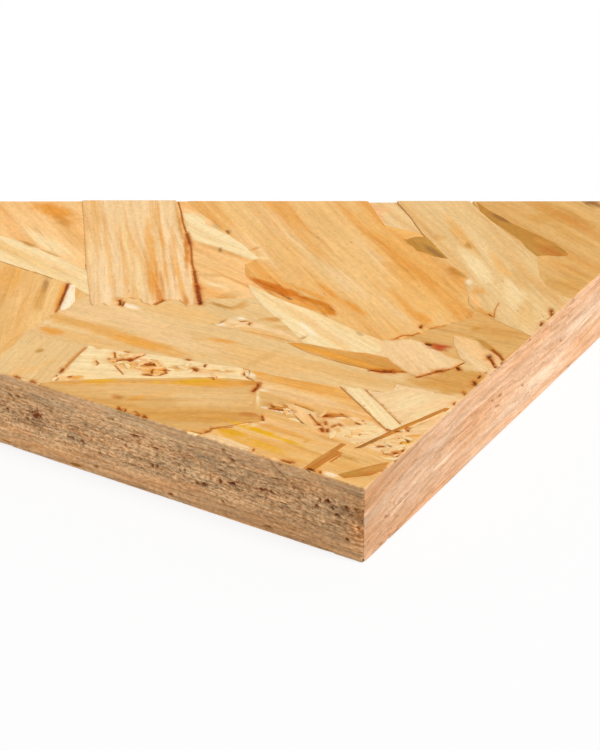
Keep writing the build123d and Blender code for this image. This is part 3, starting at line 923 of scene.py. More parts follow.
def crumbs(heap):
    """Small chips that stand a little proud of the broken strands."""
    for rng, place in zone_places(CHIP_COLUMN):
        spokes = np.linspace(0, 2 * math.pi, CHIP_SPOKES, endpoint=False)
        spokes = spokes + rng.uniform(-CHIP_UNEVEN, CHIP_UNEVEN, CHIP_SPOKES)
        size = rng.uniform(*CHIP_SIZE) * CHIP_SHAPE
        local = np.stack([np.cos(spokes), np.sin(spokes)], 1) * size
        local = local * rng.uniform(*CHIP_RAGGED, (CHIP_SPOKES, 1))
        angle = rng.normal(*CHIP_TURN)
        outline = clip(local @ turning(angle) + place + CORNER)
        top, colour = TOP - rng.uniform(*CHIP_DROP), CRUMB_TONES[rng.integers(len(CRUMB_TONES))]
        if len(outline) > 2:
            plain_plate(heap, outline, angle, top, colour, CHIP_FIGURE, int(rng.integers(CHIP_SEEDS)))


# Strands everywhere else

PALETTE = [
    (CREAM, 0.16), (PALE, 0.15), (PEACH, 0.16), (STRAW, 0.17), (SAND, 0.12),
    (HONEY, 0.10), (TAN, 0.07), (OCHRE, 0.03), (OLIVE, 0.02), (AMBER, 0.02),
]
# Most strands lie nearly along the panel, and a few stray in any direction
GRAIN_SPREAD = math.radians(26)
STRAY_SHARE = 0.12
STRAND_LENGTH, STRAND_WIDTH = (60, 135), (13, 30)
NARROW_WIDTH, NARROW_SHARE = (3, 12), 0.2
END_TAPER, END_CUT = (0.65, 1), 0.7
SHADE_SPREAD, HUE_SPREAD, BRIGHTEST = 0.05, 0.02, 0.98
RANDOM_ENDS = {"end_step": 3.2, "side_step": 7.0, "end_depth": 1.6, "wave": 0.35}
# Strands are drawn until their usual area would cover the face this many times over
COVER_TIMES, USUAL_AREA = 2.6, 2000
# The cells that tell what is covered, and the least area of a strand that has to show
CELL = 1.5
LEAST_SHOWN, LEAST_FILLED = 45, 12
RANDOM_DROP = (0.0, 0.3)
# Rows of strands that fill what is still open: spacing, shifts, turn, drop and shade
FILL_STEP, FILL_SHIFT = (74, 17), (12, 2)
FILL_START, FILL_PAST = 8, 60
FILL_TURN = 0.08
BASE_DROP, BASE_SPREAD, BASE_SHADE = 0.33, 0.25, 0.93
# Random strands under the photographed corner lie below the listed ones
HIDDEN_DROP, HIDDEN_SPREAD = 0.4, 0.1
FIGURE = (0.35, 1)
SEED_STEP = 1000


def random_strand(rng, x, y, narrow=False):
    """Outline, grain angle and colour of one strand about a place."""
    angle = rng.normal(0, GRAIN_SPREAD)
    if rng.random() < STRAY_SHARE:
        angle = rng.uniform(-math.pi / 2, math.pi / 2)
    length = rng.uniform(*STRAND_LENGTH)
    width = rng.uniform(*(NARROW_WIDTH if narrow else STRAND_WIDTH))
    taper = rng.uniform(*END_TAPER, 2)
    cut = rng.uniform(-END_CUT, END_CUT, 2) * width
    a, b = length / 2, width / 2
    local = np.array([
        (-a + cut[0] / 2, -b * taper[0]), (0, -b), (a + cut[1] / 2, -b * taper[1]),
        (a - cut[1] / 2, b * taper[1]), (0, b), (-a - cut[0] / 2, b * taper[0])])
    weights = np.array([share for _, share in PALETTE])
    colour = PALETTE[rng.choice(len(PALETTE), p=weights / weights.sum())][0]
    colour = colour * rng.normal(1, SHADE_SPREAD) * (1 + rng.normal(0, HUE_SPREAD, 3))
    return local @ turning(angle) + (x, y), angle, np.clip(colour, 0, BRIGHTEST)


def cells_of(outline):
    """The grid cells whose middles an outline covers."""
    lowest = np.floor((outline.min(0) + (HALF_X, HALF_Y)) / CELL).astype(int)
    highest = np.ceil((outline.max(0) + (HALF_X, HALF_Y)) / CELL).astype(int)
    lowest = np.maximum(lowest, 0)
    columns = np.arange(lowest[0], min(highest[0], int(2 * HALF_X / CELL)))
    rows = np.arange(lowest[1], min(highest[1], int(2 * HALF_Y / CELL)))
    if not len(columns) or not len(rows):
        return np.zeros(0, int), np.zeros(0, int)
    column, row = (grid.ravel() for grid in np.meshgrid(columns, rows))
    middles = np.stack([(column + 0.5) * CELL - HALF_X, (row + 0.5) * CELL - HALF_Y], 1)
    keep = inside(middles, outline)
    return column[keep], row[keep]


def takes_place(outline, covered, least):
    """Whether enough of a strand shows, marking what it covers if so."""
    cells = cells_of(outline)
    if (~covered[cells]).sum() * CELL**2 < least:
        return False
    covered[cells] = True
    return True


def choose_strands(seed, covered):
    """Random strands from the top down, leaving out those that nothing shows of."""
    rng = np.random.default_rng(seed)
    wanted = int(COVER_TIMES * (4 * HALF_X * HALF_Y) / USUAL_AREA)
    chosen = []
    for drop in np.sort(rng.uniform(*RANDOM_DROP, wanted)):
        x, y = rng.uniform(-HALF_X, HALF_X), rng.uniform(-HALF_Y, HALF_Y)
        outline, angle, colour = random_strand(rng, x, y, rng.random() < NARROW_SHARE)
        if takes_place(outline, covered, LEAST_SHOWN):
            chosen.append((outline, angle, drop, colour))
    return chosen + filling_strands(rng, covered)


def filling_strands(rng, covered):
    """Rows of strands at the base that fill what the others leave open."""
    chosen = []
    for row in np.arange(FILL_START - HALF_Y, HALF_Y + FILL_START, FILL_STEP[1]):
        for column in np.arange(-HALF_X, HALF_X + FILL_PAST, FILL_STEP[0]):
            x, y = (place + rng.uniform(-s, s) for place, s in zip((column, row), FILL_SHIFT))
            outline, angle, colour = random_strand(rng, x, y)
            middle = outline.mean(0)
            turn = rng.uniform(-FILL_TURN, FILL_TURN) - angle
            outline = (outline - middle) @ turning(turn) + middle
            if takes_place(outline, covered, LEAST_FILLED):
                drop = BASE_DROP + rng.uniform(0, BASE_SPREAD)
                chosen.append((outline, angle + turn, drop, colour * BASE_SHADE))
    return chosen


TILES_X, TILES_Y = 4, 2
CORE_INSET = 5.0
CORE_DEPTH = 1.9


def tile_of(point):
    column = int((point[0] + HALF_X) / (2 * HALF_X) * TILES_X)
    row = int((point[1] + HALF_Y) / (2 * HALF_Y) * TILES_Y)
    return min(max(column, 0), TILES_X - 1), min(max(row, 0), TILES_Y - 1)


def core_block(heap, column, row, under):
    """The pressed inner layers under one tile of strands, as a dark slab: their tone with painted shade
    for the gaps between strands.
    """
    width, depth = 2 * HALF_X / TILES_X, 2 * HALF_Y / TILES_Y
    west, south = column * width - HALF_X, row * depth - HALF_Y
    x = np.clip([west, west + width], CORE_INSET - HALF_X, HALF_X - CORE_INSET)
    y = np.clip([south, south + depth], CORE_INSET - HALF_Y, HALF_Y - CORE_INSET)
    plan = np.array([(x[0], y[0]), (x[1], y[0]), (x[1], y[1]), (x[0], y[1])])
    points = np.concatenate([lift(plan, TOP / 2, under), lift(plan, TOP - CORE_DEPTH, under)])
    faces = [[3, 2, 1, 0], [4, 5, 6, 7], [0, 1, 5, 4], [1, 2, 6, 5], [2, 3, 7, 6], [3, 0, 4, 7]]
    tint = np.tile(CORE_AND_SHADE, (8, 1))
    heap.add(points, turned(faces, under), grain_places(np.tile(plan, (2, 1)), 0, 3), tint)


def face_pieces(name, seed, under, material):
    """All strands of one face, as one piece to each tile. Returns the strands, lowest last."""
    covered = np.zeros((int(2 * HALF_X / CELL) + 1, int(2 * HALF_Y / CELL) + 1), bool)
    heaps = {(column, row): Heap() for column in range(TILES_X) for row in range(TILES_Y)}
    for (column, row), heap in heaps.items():
        core_block(heap, column, row, under)
    shown = SEEN * SHOWN_SHARE + CORNER
    plates = []
    for count, (outline, angle, drop, colour) in enumerate(choose_strands(seed, covered)):
        rng = np.random.default_rng(seed * SEED_STEP + count)
        rough = clip(splinter(outline, angle, rng, **RANDOM_ENDS))
        if len(rough) < 3:
            continue
        if not under and inside(rough, shown).any():
            drop = HIDDEN_DROP + HIDDEN_SPREAD * rng.random()
        heap = heaps[tile_of(outline.mean(0))]
        plain_plate(heap, rough, angle, TOP - drop, colour, rng.uniform(*FIGURE), count, under)
        plates.append((rough, TOP - drop, colour, "random"))
    if not under:
        corner_strands(heaps[TILES_X - 1, 0], plates)
        crumbs(heaps[TILES_X - 1, 0])
    for (column, row), heap in heaps.items():
        make_piece(f"{name}_{column + 1}_{row + 1}", heap, material)
    return plates


# Sawn edges

# How ragged a pit is, and how it ends
PIT_WAVE, PIT_RAGGED = (0.7, 0.45), 1.2
PIT_REACH, PIT_FALL = 1.2, 1.15


class Pit:
    """A hole in a sawn edge: distance from the corner, height, half sizes, depth, turn."""

    def __init__(self, along, height, length, width, depth=0.8, turn=0.0):
        self.along, self.height = along, height
        self.length, self.width = length, width
        self.depth, self.turn = depth, math.radians(turn)

    def share(self, along, height):
        """How far each place is in the pit."""
        offset = np.stack([along - self.along, height - self.height], 1)
        inline, across = on_axes(offset, self.turn)
        away = np.hypot(inline / self.length, across / self.width)
        ragged = rough_noise(along / PIT_WAVE[0], height / PIT_WAVE[1], 77)
        return np.clip(PIT_REACH - (away * PIT_FALL + PIT_RAGGED * ragged), 0, 1)


# Pits beside the photographed corner: on the long edge, then on the short edge
LONG_PITS = [
    Pit(80.3, 9.8, 1.9, 1.0, 0.9, -15), Pit(82.4, 8.5, 0.9, 0.35, 0.9), Pit(79.8, 11, 0.5, 0.4),
    Pit(54.5, 12.8, 1.6, 0.4, 1.0), Pit(50.4, 11.4, 1.2, 0.3), Pit(71.4, 7.1, 0.8, 0.4, 1.0),
    Pit(68.4, 7.0, 0.6, 0.5), Pit(50.8, 6.9, 0.35, 0.5), Pit(49.6, 7.1, 0.4, 0.5),
    Pit(39.4, 6.2, 0.8, 0.35, 1.0), Pit(38.0, 6.3, 0.7, 0.35, 1.1), Pit(34.0, 8.4, 0.5, 0.45, 1.0),
    Pit(31.0, 8.7, 0.9, 0.4, 1.0), Pit(31.2, 14.5, 0.7, 0.5), Pit(24.1, 9.7, 0.7, 0.4, 1.1),
    Pit(23.1, 10.1, 0.6, 0.35, 1.1), Pit(21.9, 9.9, 0.6, 0.3, 1.1), Pit(18.2, 7.3, 0.6, 0.35, 1.0),
    Pit(10.3, 12.1, 0.5, 0.4, 0.9), Pit(8.8, 12.0, 0.8, 0.4, 1.2), Pit(11.3, 9.8, 0.5, 0.8, 1.0, 40),
    Pit(6.4, 9.3, 0.7, 0.4, 1.0), Pit(7.3, 10.7, 0.6, 0.3), Pit(4.3, 12.0, 0.5, 0.35),
    Pit(2.2, 12.2, 0.45, 0.3), Pit(1.7, 11.5, 0.4, 0.3), Pit(3.8, 4.6, 0.5, 0.4), Pit(1.5, 8.1, 0.4, 0.4),
    Pit(46.6, 1.4, 1.1, 0.35, 0.6), Pit(84.6, 13.3, 0.6, 0.3, 0.7), Pit(86.5, 12.9, 0.5, 0.3, 0.7),
    Pit(87.8, 9.1, 0.6, 0.35, 0.7), Pit(57.2, 9.7, 0.5, 0.3), Pit(60.6, 15.2, 1.2, 0.25, 0.5),
    Pit(22.4, 1.2, 1.2, 0.3, 0.5), Pit(70.5, 0.8, 2.0, 0.3, 0.4), Pit(33.4, 3.8, 0.6, 0.3, 0.5),
    Pit(65, 2.0, 0.9, 0.25, 0.5), Pit(45.6, 9.1, 0.4, 0.3, 0.6), Pit(43.9, 8.0, 0.4, 0.3, 0.6),
    Pit(42.7, 8.3, 0.35, 0.3, 0.6), Pit(18.5, 17.6, 1.2, 0.4, 0.9, -15), Pit(12.6, 17.8, 0.7, 0.4, 1.1),
    Pit(26.4, 17.8, 0.3, 0.6, 0.7), Pit(58.6, 17.8, 0.6, 0.5, 0.9), Pit(52.4, 17.8, 0.6, 0.4, 0.8),
    Pit(84.4, 17.8, 0.7, 0.4, 0.8), Pit(32.9, 16.6, 0.5, 0.8, 0.5, 30),
]
SHORT_PITS = [
    Pit(54.8, 10.4, 0.8, 0.3, 1.0, -20), Pit(58.6, 9.7, 0.8, 0.3, 0.9, -20),
    Pit(69.2, 6.9, 0.7, 0.3, 0.7, -20), Pit(87.4, 9.4, 1.0, 0.25, 0.5, -20),
    Pit(79.3, 11.1, 0.8, 0.3, 0.4, -30), Pit(57.4, 7.7, 1.4, 0.3, 0.4, -10),
    Pit(9.2, 6.0, 1.2, 0.35, 0.4, -10), Pit(10.6, 2.2, 1.0, 0.3, 0.3), Pit(10.6, 8.7, 0.6, 0.4, 0.4),
    Pit(12.2, 7.6, 0.6, 0.4, 0.3), Pit(21.4, 16.7, 0.7, 0.6, 0.4), Pit(12.6, 17.8, 1.0, 0.3, 0.7),
    Pit(47.4, 17.8, 1.0, 0.3, 0.8), Pit(59.4, 17.8, 1.1, 0.35, 1.0), Pit(82.4, 17.7, 1.2, 0.35, 1.0),
    Pit(55.2, 17.9, 0.7, 0.25, 0.6), Pit(42.2, 17.8, 0.7, 0.3, 0.6),
]
# A thin split that runs down from the long edge's upper arris
SPLIT = np.array([(22.6, 17.8), (20.2, 15.7), (18, 14.2), (14.2, 11.9)])

LAYER = 0.75
ARCH_RISE, ARCH_SPAN = 2.2, 96
# What full warmth adds to red, green and blue, as a share of each
LONG_HUE = np.array([0.12, -0.12, -0.34])
SHORT_HUE = np.array([0.09, -0.12, -0.32])
LONG_BASE, SHORT_BASE = tone(240, 198, 150), tone(238, 197, 161)
# Seams between the layers and at the ends of strands: their widths, how many ends have one
# and how dark it is, and how deep and dark the seams are
SEAM_WIDTH, BUTT_WIDTH = 0.15, 0.25
BUTT_SHARE, BUTT_DARKNESS = 0.6, 0.6
SEAM_DEPTH, SEAM_SHADE = 0.22, 0.4
SEAM_HUE = np.array([0.8, 1.0, 1.15])
# Strand sections in the edge: their length grows from the first number by up to the second
SECTION_LENGTH, SECTION_GROWTH, SECTION_SHIFT = 14, 46, 97
# How far from the corner the edges are darker with handling
HANDLED_REACH = 45
SHORT_KIND, LONG_KIND = 0, 1


def layers_of(along, height, seed):
    """Sawn strand sections: a shade for each, its seams and the waving height."""
    sway = 0.9 * noise(along / 31, height / 9, seed) + 0.3 * noise(along / 9, height / 4, seed + 1)
    waved = height + sway
    row = np.floor(waved / LAYER).astype(np.int64)
    within = waved / LAYER - row
    stretch = SECTION_LENGTH + SECTION_GROWTH * lattice(row, row * 0, seed + 2)
    place = (along + SECTION_SHIFT * lattice(row, row * 0 + 5, seed + 3)) / stretch
    block = np.floor(place).astype(np.int64)
    shade = lattice(row, block, seed + 4)
    ends = np.minimum(place - block, 1 + block - place) * stretch
    seam = np.clip(1 - np.minimum(within, 1 - within) * LAYER / SEAM_WIDTH, 0, 1)
    seam = seam * np.clip(noise(along / 7, row * 3.7, seed + 5) * 2.4 - 0.6, 0, 1)
    butt = np.clip(1 - ends / BUTT_WIDTH, 0, 1) * (shade > BUTT_SHARE)
    return shade, np.maximum(seam, BUTT_DARKNESS * butt), waved


def edge_field(along, height, kind, seed, from_corner):
    """Depth below the saw line, colour, crumble and waving height at places of an edge."""
    arch_share = np.clip(from_corner, 0, ARCH_SPAN) / ARCH_SPAN
    arch = ARCH_RISE * np.sin(arch_share * math.pi) * (kind == SHORT_KIND)
    shade, groove, waved = layers_of(along, height - arch, seed)
    middle = np.clip(1.5 - np.abs(height - TOP * 0.52) / 5, 0, 1)
    handled = np.exp(-np.maximum(from_corner, 0) / HANDLED_REACH)
    speck = rough_noise(along / 0.85, waved / 0.5, seed + 6)
    lump = rough_noise(along / 2.2, waved / 1.0, seed + 13)
    fibre = rough_noise(along / 9, waved / 0.45, seed + 7)
    # Each number below is how much of one kind of noise goes into the sum
    # Where a noise sets the edge deeper it also makes it darker, so the hollows carry painted shade over
    # the wood's own tone
    if kind == LONG_KIND:
        crumble = 0.35 + 0.65 * middle
        low_streak = np.clip(1.2 - height / 5, 0, 1)
        blotch = noise(along / 13, height / 3, seed + 8)
        value = 1 + 0.16 * (shade - 0.5) + (0.26 * speck + 0.24 * lump) * crumble + 0.12 * blotch
        value = value + fibre * (0.16 + 0.16 * low_streak) - 0.24 * handled
        patch = rough_noise(along / 6, height / 2.4, seed + 12)
        near_corner = np.exp(-np.maximum(from_corner, 0) / 3) * middle
        warmth = 0.3 * (shade - 0.5) + 0.4 * patch + 0.3 * low_streak + 0.25 * handled + near_corner
        depth = -0.1 + (0.07 * (1 - speck) + 0.17 * (1 - lump)) * crumble + 0.04 * (1 - fibre)
        base, hue = LONG_BASE, LONG_HUE
    else:
        crumble = 0.12 * middle
        wave = rough_noise(along / 22, waved / 1.3, seed + 9)
        patch = noise(along / 17, height / 5, seed + 12)
        torn = rough_noise(along / 3.2, waved / 0.7, seed + 14)
        value = 1 + 0.1 * (shade - 0.5) + 0.12 * fibre + 0.16 * wave + 0.16 * torn - 0.08 * patch
        value = value - 0.3 * handled
        warmth = 0.3 * (shade - 0.5) + 0.5 * patch - 0.3 * fibre - 0.5 * wave - 0.3 * torn + 0.7 * handled
        depth = -0.06 + 0.03 * (1 - fibre) + 0.05 * (1 - wave) + 0.03 * (1 - speck)
        base, hue = SHORT_BASE, SHORT_HUE
    tint = base * np.clip(value, 0.35, 1.3)[:, None]
    tint = tint * (1 + warmth[:, None] * hue)
    tint = tint * (1 - SEAM_SHADE * groove[:, None] * SEAM_HUE)
    return depth + SEAM_DEPTH * groove, np.clip(tint, 0.01, 0.99), crumble, waved


ROUND_RADIUS = 0.8


def span_of(side):
    """The length of a side: 0 is the front, and 1, 2 and 3 are the left, back and right."""
    return 2 * (HALF_Y if side % 2 else HALF_X)


def perimeter_place(along, side):
    """Centre of turn and outward direction at a distance along one side."""
    span = span_of(side)
    starts = [(HALF_X, -HALF_Y), (-HALF_X, -HALF_Y), (-HALF_X, HALF_Y), (HALF_X, HALF_Y)]
    runs = [(-1, 0), (0, 1), (1, 0), (0, -1)]
    outs = [(0, -1), (-1, 0), (0, 1), (1, 0)]
    start, run, out = (np.array(v[side], float) for v in (starts, runs, outs))
    first = np.clip((ROUND_RADIUS - along) / ROUND_RADIUS, 0, 1)
    last = np.clip((along - span + ROUND_RADIUS) / ROUND_RADIUS, 0, 1)
    turn = (last - first) * math.pi / 4
    flat = np.clip(along, ROUND_RADIUS, span - ROUND_RADIUS)
    centre = start + flat[:, None] * run - ROUND_RADIUS * out
    return centre, np.cos(turn)[:, None] * out + np.sin(turn)[:, None] * run


# Where no strand reaches an edge, its lip starts this far below the top
BARE_LIP = 1.0
LIP_SINK = 0.03


def lip_of(spots, plates, lowest):
    """Height and colour of the highest strand at each place just inside an edge."""
    heights = np.full(len(spots), TOP - BARE_LIP)
    # Where no strand reaches, the lip takes the core's dark colour, partly painted shade
    tint = np.tile(CORE_AND_SHADE, (len(spots), 1))
    low_corner, high_corner = spots.min(0), spots.max(0)
    for outline, top, colour, name in plates:
        if (outline.max(0) < low_corner).any() or (outline.min(0) > high_corner).any():
            continue
        higher = inside(spots, outline) & (top > heights)
        if not higher.any():
            continue
        levels, shades = np.full(len(spots), top), np.tile(colour, (len(spots), 1))
        if name != "random":
            levels, shades = marked(spots, name, levels, shades)
        heights = np.where(higher, levels, heights)
        tint = np.where(higher[:, None], shades, tint)
    return np.maximum(heights, TOP - lowest) - settle(spots) - LIP_SINK, tint


# Where the strands' ends meet the saw line: setback, drop and share of the strand's colour
# in the rows of each lip
LIP_ROWS = [(0.06, 0.08, 0.25), (0.2, 0.0, 0.85), (0.85, 0.0, 0.85), (1.6, 0.4, 0.85)]
LOWEST_LIP = 0.4
LOWEST_UNDER_LIP = 0.04
LIP_INSET, LIP_BAND = 0.6, 0.2
# The bar's inner row runs in under the strands and is painted darker there, a painted shade
BAR_DEPTH, BAR_RISE, BAR_PAINTED_SHADE = 8.0, 1.2, 0.4
# More points where a side turns its corner
CORNER_POINTS = np.array([0, 0.25, 0.5])
# Sets the grain of one side apart from the next
SIDE_SHIFT = 500


def lip_rows(lip, edge_set, colour, edge_tint, sign):
    """Heights, setbacks and colours of the rows from the saw line in over a face."""
    rows = []
    for back, drop, share in LIP_ROWS:
        rows.append((lip - sign * drop, edge_set + back, edge_tint + (colour - edge_tint) * share))
    rows.append((lip - sign * BAR_RISE, np.full(len(lip), BAR_DEPTH), colour * BAR_PAINTED_SHADE))
    return rows


def bar_faces(index):
    """Faces that close a bar whose points stand in a grid."""
    faces = np.stack([index[:-1, :-1], index[:-1, 1:], index[1:, 1:], index[1:, :-1]], -1)
    faces = faces.reshape(-1, 4).tolist()
    faces += np.stack([index[:-1, -1], index[:-1, 0], index[1:, 0], index[1:, -1]], -1).tolist()
    return faces + [index[0, ::-1].tolist(), index[-1, :].tolist()]


def edge_bar(name, side, start, end, step, rise, material, plates_top, plates_under):
    """One stretch of a sawn edge: a closed bar whose outer face carries the relief."""
    kind = LONG_KIND if side % 2 == 0 else SHORT_KIND
    seed, span = EDGE_SEED + side, span_of(side)
    alongs = np.linspace(start, end, max(2, int(round((end - start) / step)) + 1))
    for limit, spots in ((0.0, CORNER_POINTS), (span, span - CORNER_POINTS[::-1])):
        if start <= limit <= end:
            alongs = np.unique(np.concatenate([alongs, spots]))
    centre, direction = perimeter_place(alongs, side)
    border = centre + direction * (ROUND_RADIUS - LIP_INSET)
    lip_top, colour_top = lip_of(border, plates_top, LOWEST_LIP)
    lip_under, colour_under = lip_of(border, plates_under, LOWEST_UNDER_LIP)
    lip_under = TOP - lip_under
    levels = max(2, int(round(TOP / rise)) + 1)
    low_edge, high_edge = lip_under + LIP_BAND, lip_top - LIP_BAND
    height = low_edge[:, None] + (high_edge - low_edge)[:, None] * np.linspace(0, 1, levels)
    along = np.repeat(alongs[:, None], levels, 1)
    from_corner = (along if side == 0 else span - along).ravel()
    depth, tint, crumble, waved = edge_field(along.ravel(), height.ravel(), kind, seed, from_corner)
    hollow, dark = hollows(from_corner, height.ravel(), side, seed)
    # The pits' painted shade moves the edge's colour towards pit brown
    tint = (tint + (PIT_BROWN_AND_SHADE - tint) * dark[:, None]).reshape(*height.shape, 3)
    set_in = (depth + hollow).reshape(height.shape)

    under = lip_rows(lip_under, set_in[:, 0], colour_under, tint[:, 0], -1)[::-1]
    over = lip_rows(lip_top, set_in[:, -1], colour_top, tint[:, -1], 1)
    middle = list(zip(height.T, set_in.T, tint.transpose(1, 0, 2)))
    heights, backs, tints = (np.stack(rows, 1) for rows in zip(*under, *middle, *over))
    margins = ((0, 0), (len(under), len(over)))
    crumble, waved = (np.pad(v.reshape(height.shape), margins, mode="edge") for v in (crumble, waved))
    plan = centre[:, None, :] + direction[:, None, :] * (ROUND_RADIUS - backs)[:, :, None]
    points = np.concatenate([plan, heights[:, :, None]], 2).reshape(-1, 3)
    index = np.arange(heights.size).reshape(heights.shape)
    shifted = np.repeat(alongs, heights.shape[1]) + SIDE_SHIFT * side
    grain = np.stack([shifted, waved.ravel(), np.full(index.size, seed)], 1)
    heap = Heap()
    heap.add(points, bar_faces(index), grain, tints.reshape(-1, 3), crumble.ravel())
    return make_piece(name, heap, material, smooth=True)


# Pits take painted shade for their depth, and the split's reach, depth and painted shade
PIT_PAINTED_SHADE, MOST_PIT_SHADE = 1.6, 0.9
SPLIT_REACH, SPLIT_DEPTH, SPLIT_PAINTED_SHADE = 0.25, 0.2, 0.5
# Random pits start past the listed ones
RANDOM_FROM, RANDOM_FADE = 95, 12
LONG_THRESHOLD, SHORT_THRESHOLD = 0.62, 0.78


def hollows(from_corner, height, side, seed):
    """Depth and darkness of pits, listed near the photographed corner."""
    hollow = np.zeros(len(height))
    for pit in {0: LONG_PITS, 3: SHORT_PITS}.get(side, []):
        hollow = np.maximum(hollow, pit.share(from_corner, height) * pit.depth)
    # Pits and the split are painted darker the deeper they go: painted shade over the torn wood's brown
    dark = np.clip(hollow * PIT_PAINTED_SHADE, 0, MOST_PIT_SHADE)
    if side == 0:
        away = gap_to(np.stack([from_corner, height], 1), SPLIT)
        share = np.clip(1.2 - away / SPLIT_REACH, 0, 1)
        hollow = np.maximum(hollow, SPLIT_DEPTH * share)
        dark = np.maximum(dark, SPLIT_PAINTED_SHADE * share)
    small = rough_noise(from_corner / 1.1, height / 0.45, seed + 20)
    wide = rough_noise(from_corner / 2.8, height / 1.0, seed + 21)
    wide = wide + 0.25 * noise(from_corner / 9, height / 3, seed)
    threshold = LONG_THRESHOLD if side % 2 == 0 else SHORT_THRESHOLD
    beyond = np.clip((from_corner - RANDOM_FROM) / RANDOM_FADE, 0, 1) if side in (0, 3) else 1
    random = np.clip((wide - threshold) * 5, 0, 1) * beyond
    near_middle = np.clip(1.5 - np.abs(height - 9.5) / 5, 0.15, 1)
    fine = np.clip((small - threshold + 0.1) * 4, 0, 1) * near_middle
    hollow = np.maximum(hollow, np.maximum(random * 0.7, fine * 0.3))
    # Random pits too are painted darker where they are deeper, a painted shade
    dark = np.maximum(dark, np.maximum(random * 0.9, fine * 0.6))
    return hollow, dark


FINE_REACH = 114.0
FINE_MESH, COARSE_MESH = (0.25, 0.25), (1.5, 0.7)
EDGE_SEED = 60


def edge_pieces(material, plates_top, plates_under):
    """The four sawn edges in stretches, with fine ones beside the photographed corner."""
    for side, name in enumerate(("front", "left", "back", "right")):
        span = span_of(side)
        cuts = list(np.linspace(0, span, 5 if side % 2 == 0 else 3))
        if side == 0:
            cuts = [0, FINE_REACH] + cuts[1:]
        if side == 3:
            cuts = cuts[:-1] + [span - FINE_REACH, span]
        for part, (start, end) in enumerate(zip(cuts[:-1], cuts[1:])):
            fine = round(end - start, 3) <= FINE_REACH
            step, rise = FINE_MESH if fine else COARSE_MESH
            edge_bar(f"edge_{name}_{part + 1}", side, start, end, step, rise, material,
                     plates_top, plates_under)


# Materials

WOOD_SPECULAR = 0.07
STRAND_ROUGHNESS, EDGE_ROUGHNESS = 0.55, 0.8
STRAND_RELIEF, EDGE_RELIEF = 0.05, 0.14
# What strands are multiplied by where they are warm, orange and pale, and their flecks
WARM, ORANGE = (0.93, 0.68, 0.34), (0.92, 0.71, 0.42)
FADED, FLECK = (1.08, 1.16, 1.32), (0.38, 0.14, 0.03)
# What edges are multiplied by where they are brown and reddish, and their grit
BROWNED, REDDENED = (1.10, 0.88, 0.68), (0.95, 0.80, 0.64)
DARK_GRIT, PALE_GRIT = (0.24, 0.09, 0.03), (0.86, 0.66, 0.45)


def node(tree, kind, **settings):
    made = tree.nodes.new(kind)
    for key, value in settings.items():
        setattr(made, key, value)
    return made


def link(tree, source, target):
    tree.links.new(source, target)


def noise_of(tree, grain, factors, detail, roughness=0.5):
    """Noise on the grain coordinates times one factor for each axis."""
    scaled = node(tree, "ShaderNodeVectorMath", operation="MULTIPLY")
    link(tree, grain, scaled.inputs[0])
    scaled.inputs[1].default_value = factors
    made = node(tree, "ShaderNodeTexNoise")
    made.inputs["Scale"].default_value = 1.0
    made.inputs["Detail"].default_value = detail
    made.inputs["Roughness"].default_value = roughness
    link(tree, scaled.outputs[0], made.inputs["Vector"])
    return made.outputs["Fac"]


def spread(tree, source, low_in, high_in, low_out, high_out):
    made = node(tree, "ShaderNodeMapRange")
    made.inputs["From Min"].default_value = low_in
    made.inputs["From Max"].default_value = high_in
    made.inputs["To Min"].default_value = low_out
    made.inputs["To Max"].default_value = high_out
    link(tree, source, made.inputs["Value"])
    return made.outputs["Result"]


def maths(tree, operation, first, second):
    made = node(tree, "ShaderNodeMath", operation=operation)
    for socket, value in zip(made.inputs, (first, second)):
        if isinstance(value, (int, float)):
            socket.default_value = value
        else:
            link(tree, value, socket)
    return made.outputs[0]


def mixed(tree, share, first, second, blend="MIX"):
    made = node(tree, "ShaderNodeMix", data_type="RGBA", blend_type=blend)
    for name, value in (("Factor_Float", share), ("A_Color", first), ("B_Color", second)):
        socket = next(s for s in made.inputs if s.identifier == name)
        if isinstance(value, (int, float)):
            socket.default_value = value
        elif isinstance(value, (tuple, list, np.ndarray)):
            socket.default_value = (*value[:3], 1)
        else:
            link(tree, value, socket)
    return next(s for s in made.outputs if s.identifier == "Result_Color")


def moved(tree, source, shift_y):
    """The grain coordinates with their second axis shifted by a value."""
    shift = node(tree, "ShaderNodeCombineXYZ")
    link(tree, shift_y, shift.inputs["Y"])
    made = node(tree, "ShaderNodeVectorMath", operation="ADD")
    link(tree, source, made.inputs[0])
    link(tree, shift.outputs[0], made.inputs[1])
    return made.outputs[0]


def weighed(tree, source, factor, start):
    """A value times a factor, and then a start added."""
    return maths(tree, "ADD", maths(tree, "MULTIPLY", source, factor), start)


def product(tree, *values):
    total = values[0]
    for value in values[1:]:
        total = maths(tree, "MULTIPLY", total, value)
    return total


def wood_shader(name, roughness):
    material = bpy.data.materials.new(name)
    material.use_nodes = True
    tree = material.node_tree
    shader = tree.nodes["Principled BSDF"]
    shader.inputs["Roughness"].default_value = roughness
    shader.inputs["Specular IOR Level"].default_value = WOOD_SPECULAR
    tint = node(tree, "ShaderNodeAttribute", attribute_name="tint").outputs["Color"]
    grain = node(tree, "ShaderNodeAttribute", attribute_name="grain").outputs["Vector"]
    figure = node(tree, "ShaderNodeAttribute", attribute_name="figure").outputs["Fac"]
    return material, tree, shader, tint, grain, figure


def shaded(tree, colour, value):
    """A colour times a grey value."""
    grey = node(tree, "ShaderNodeCombineColor")
    for socket in grey.inputs:
        link(tree, value, socket)
    return mixed(tree, 1.0, colour, grey.outputs[0], "MULTIPLY")


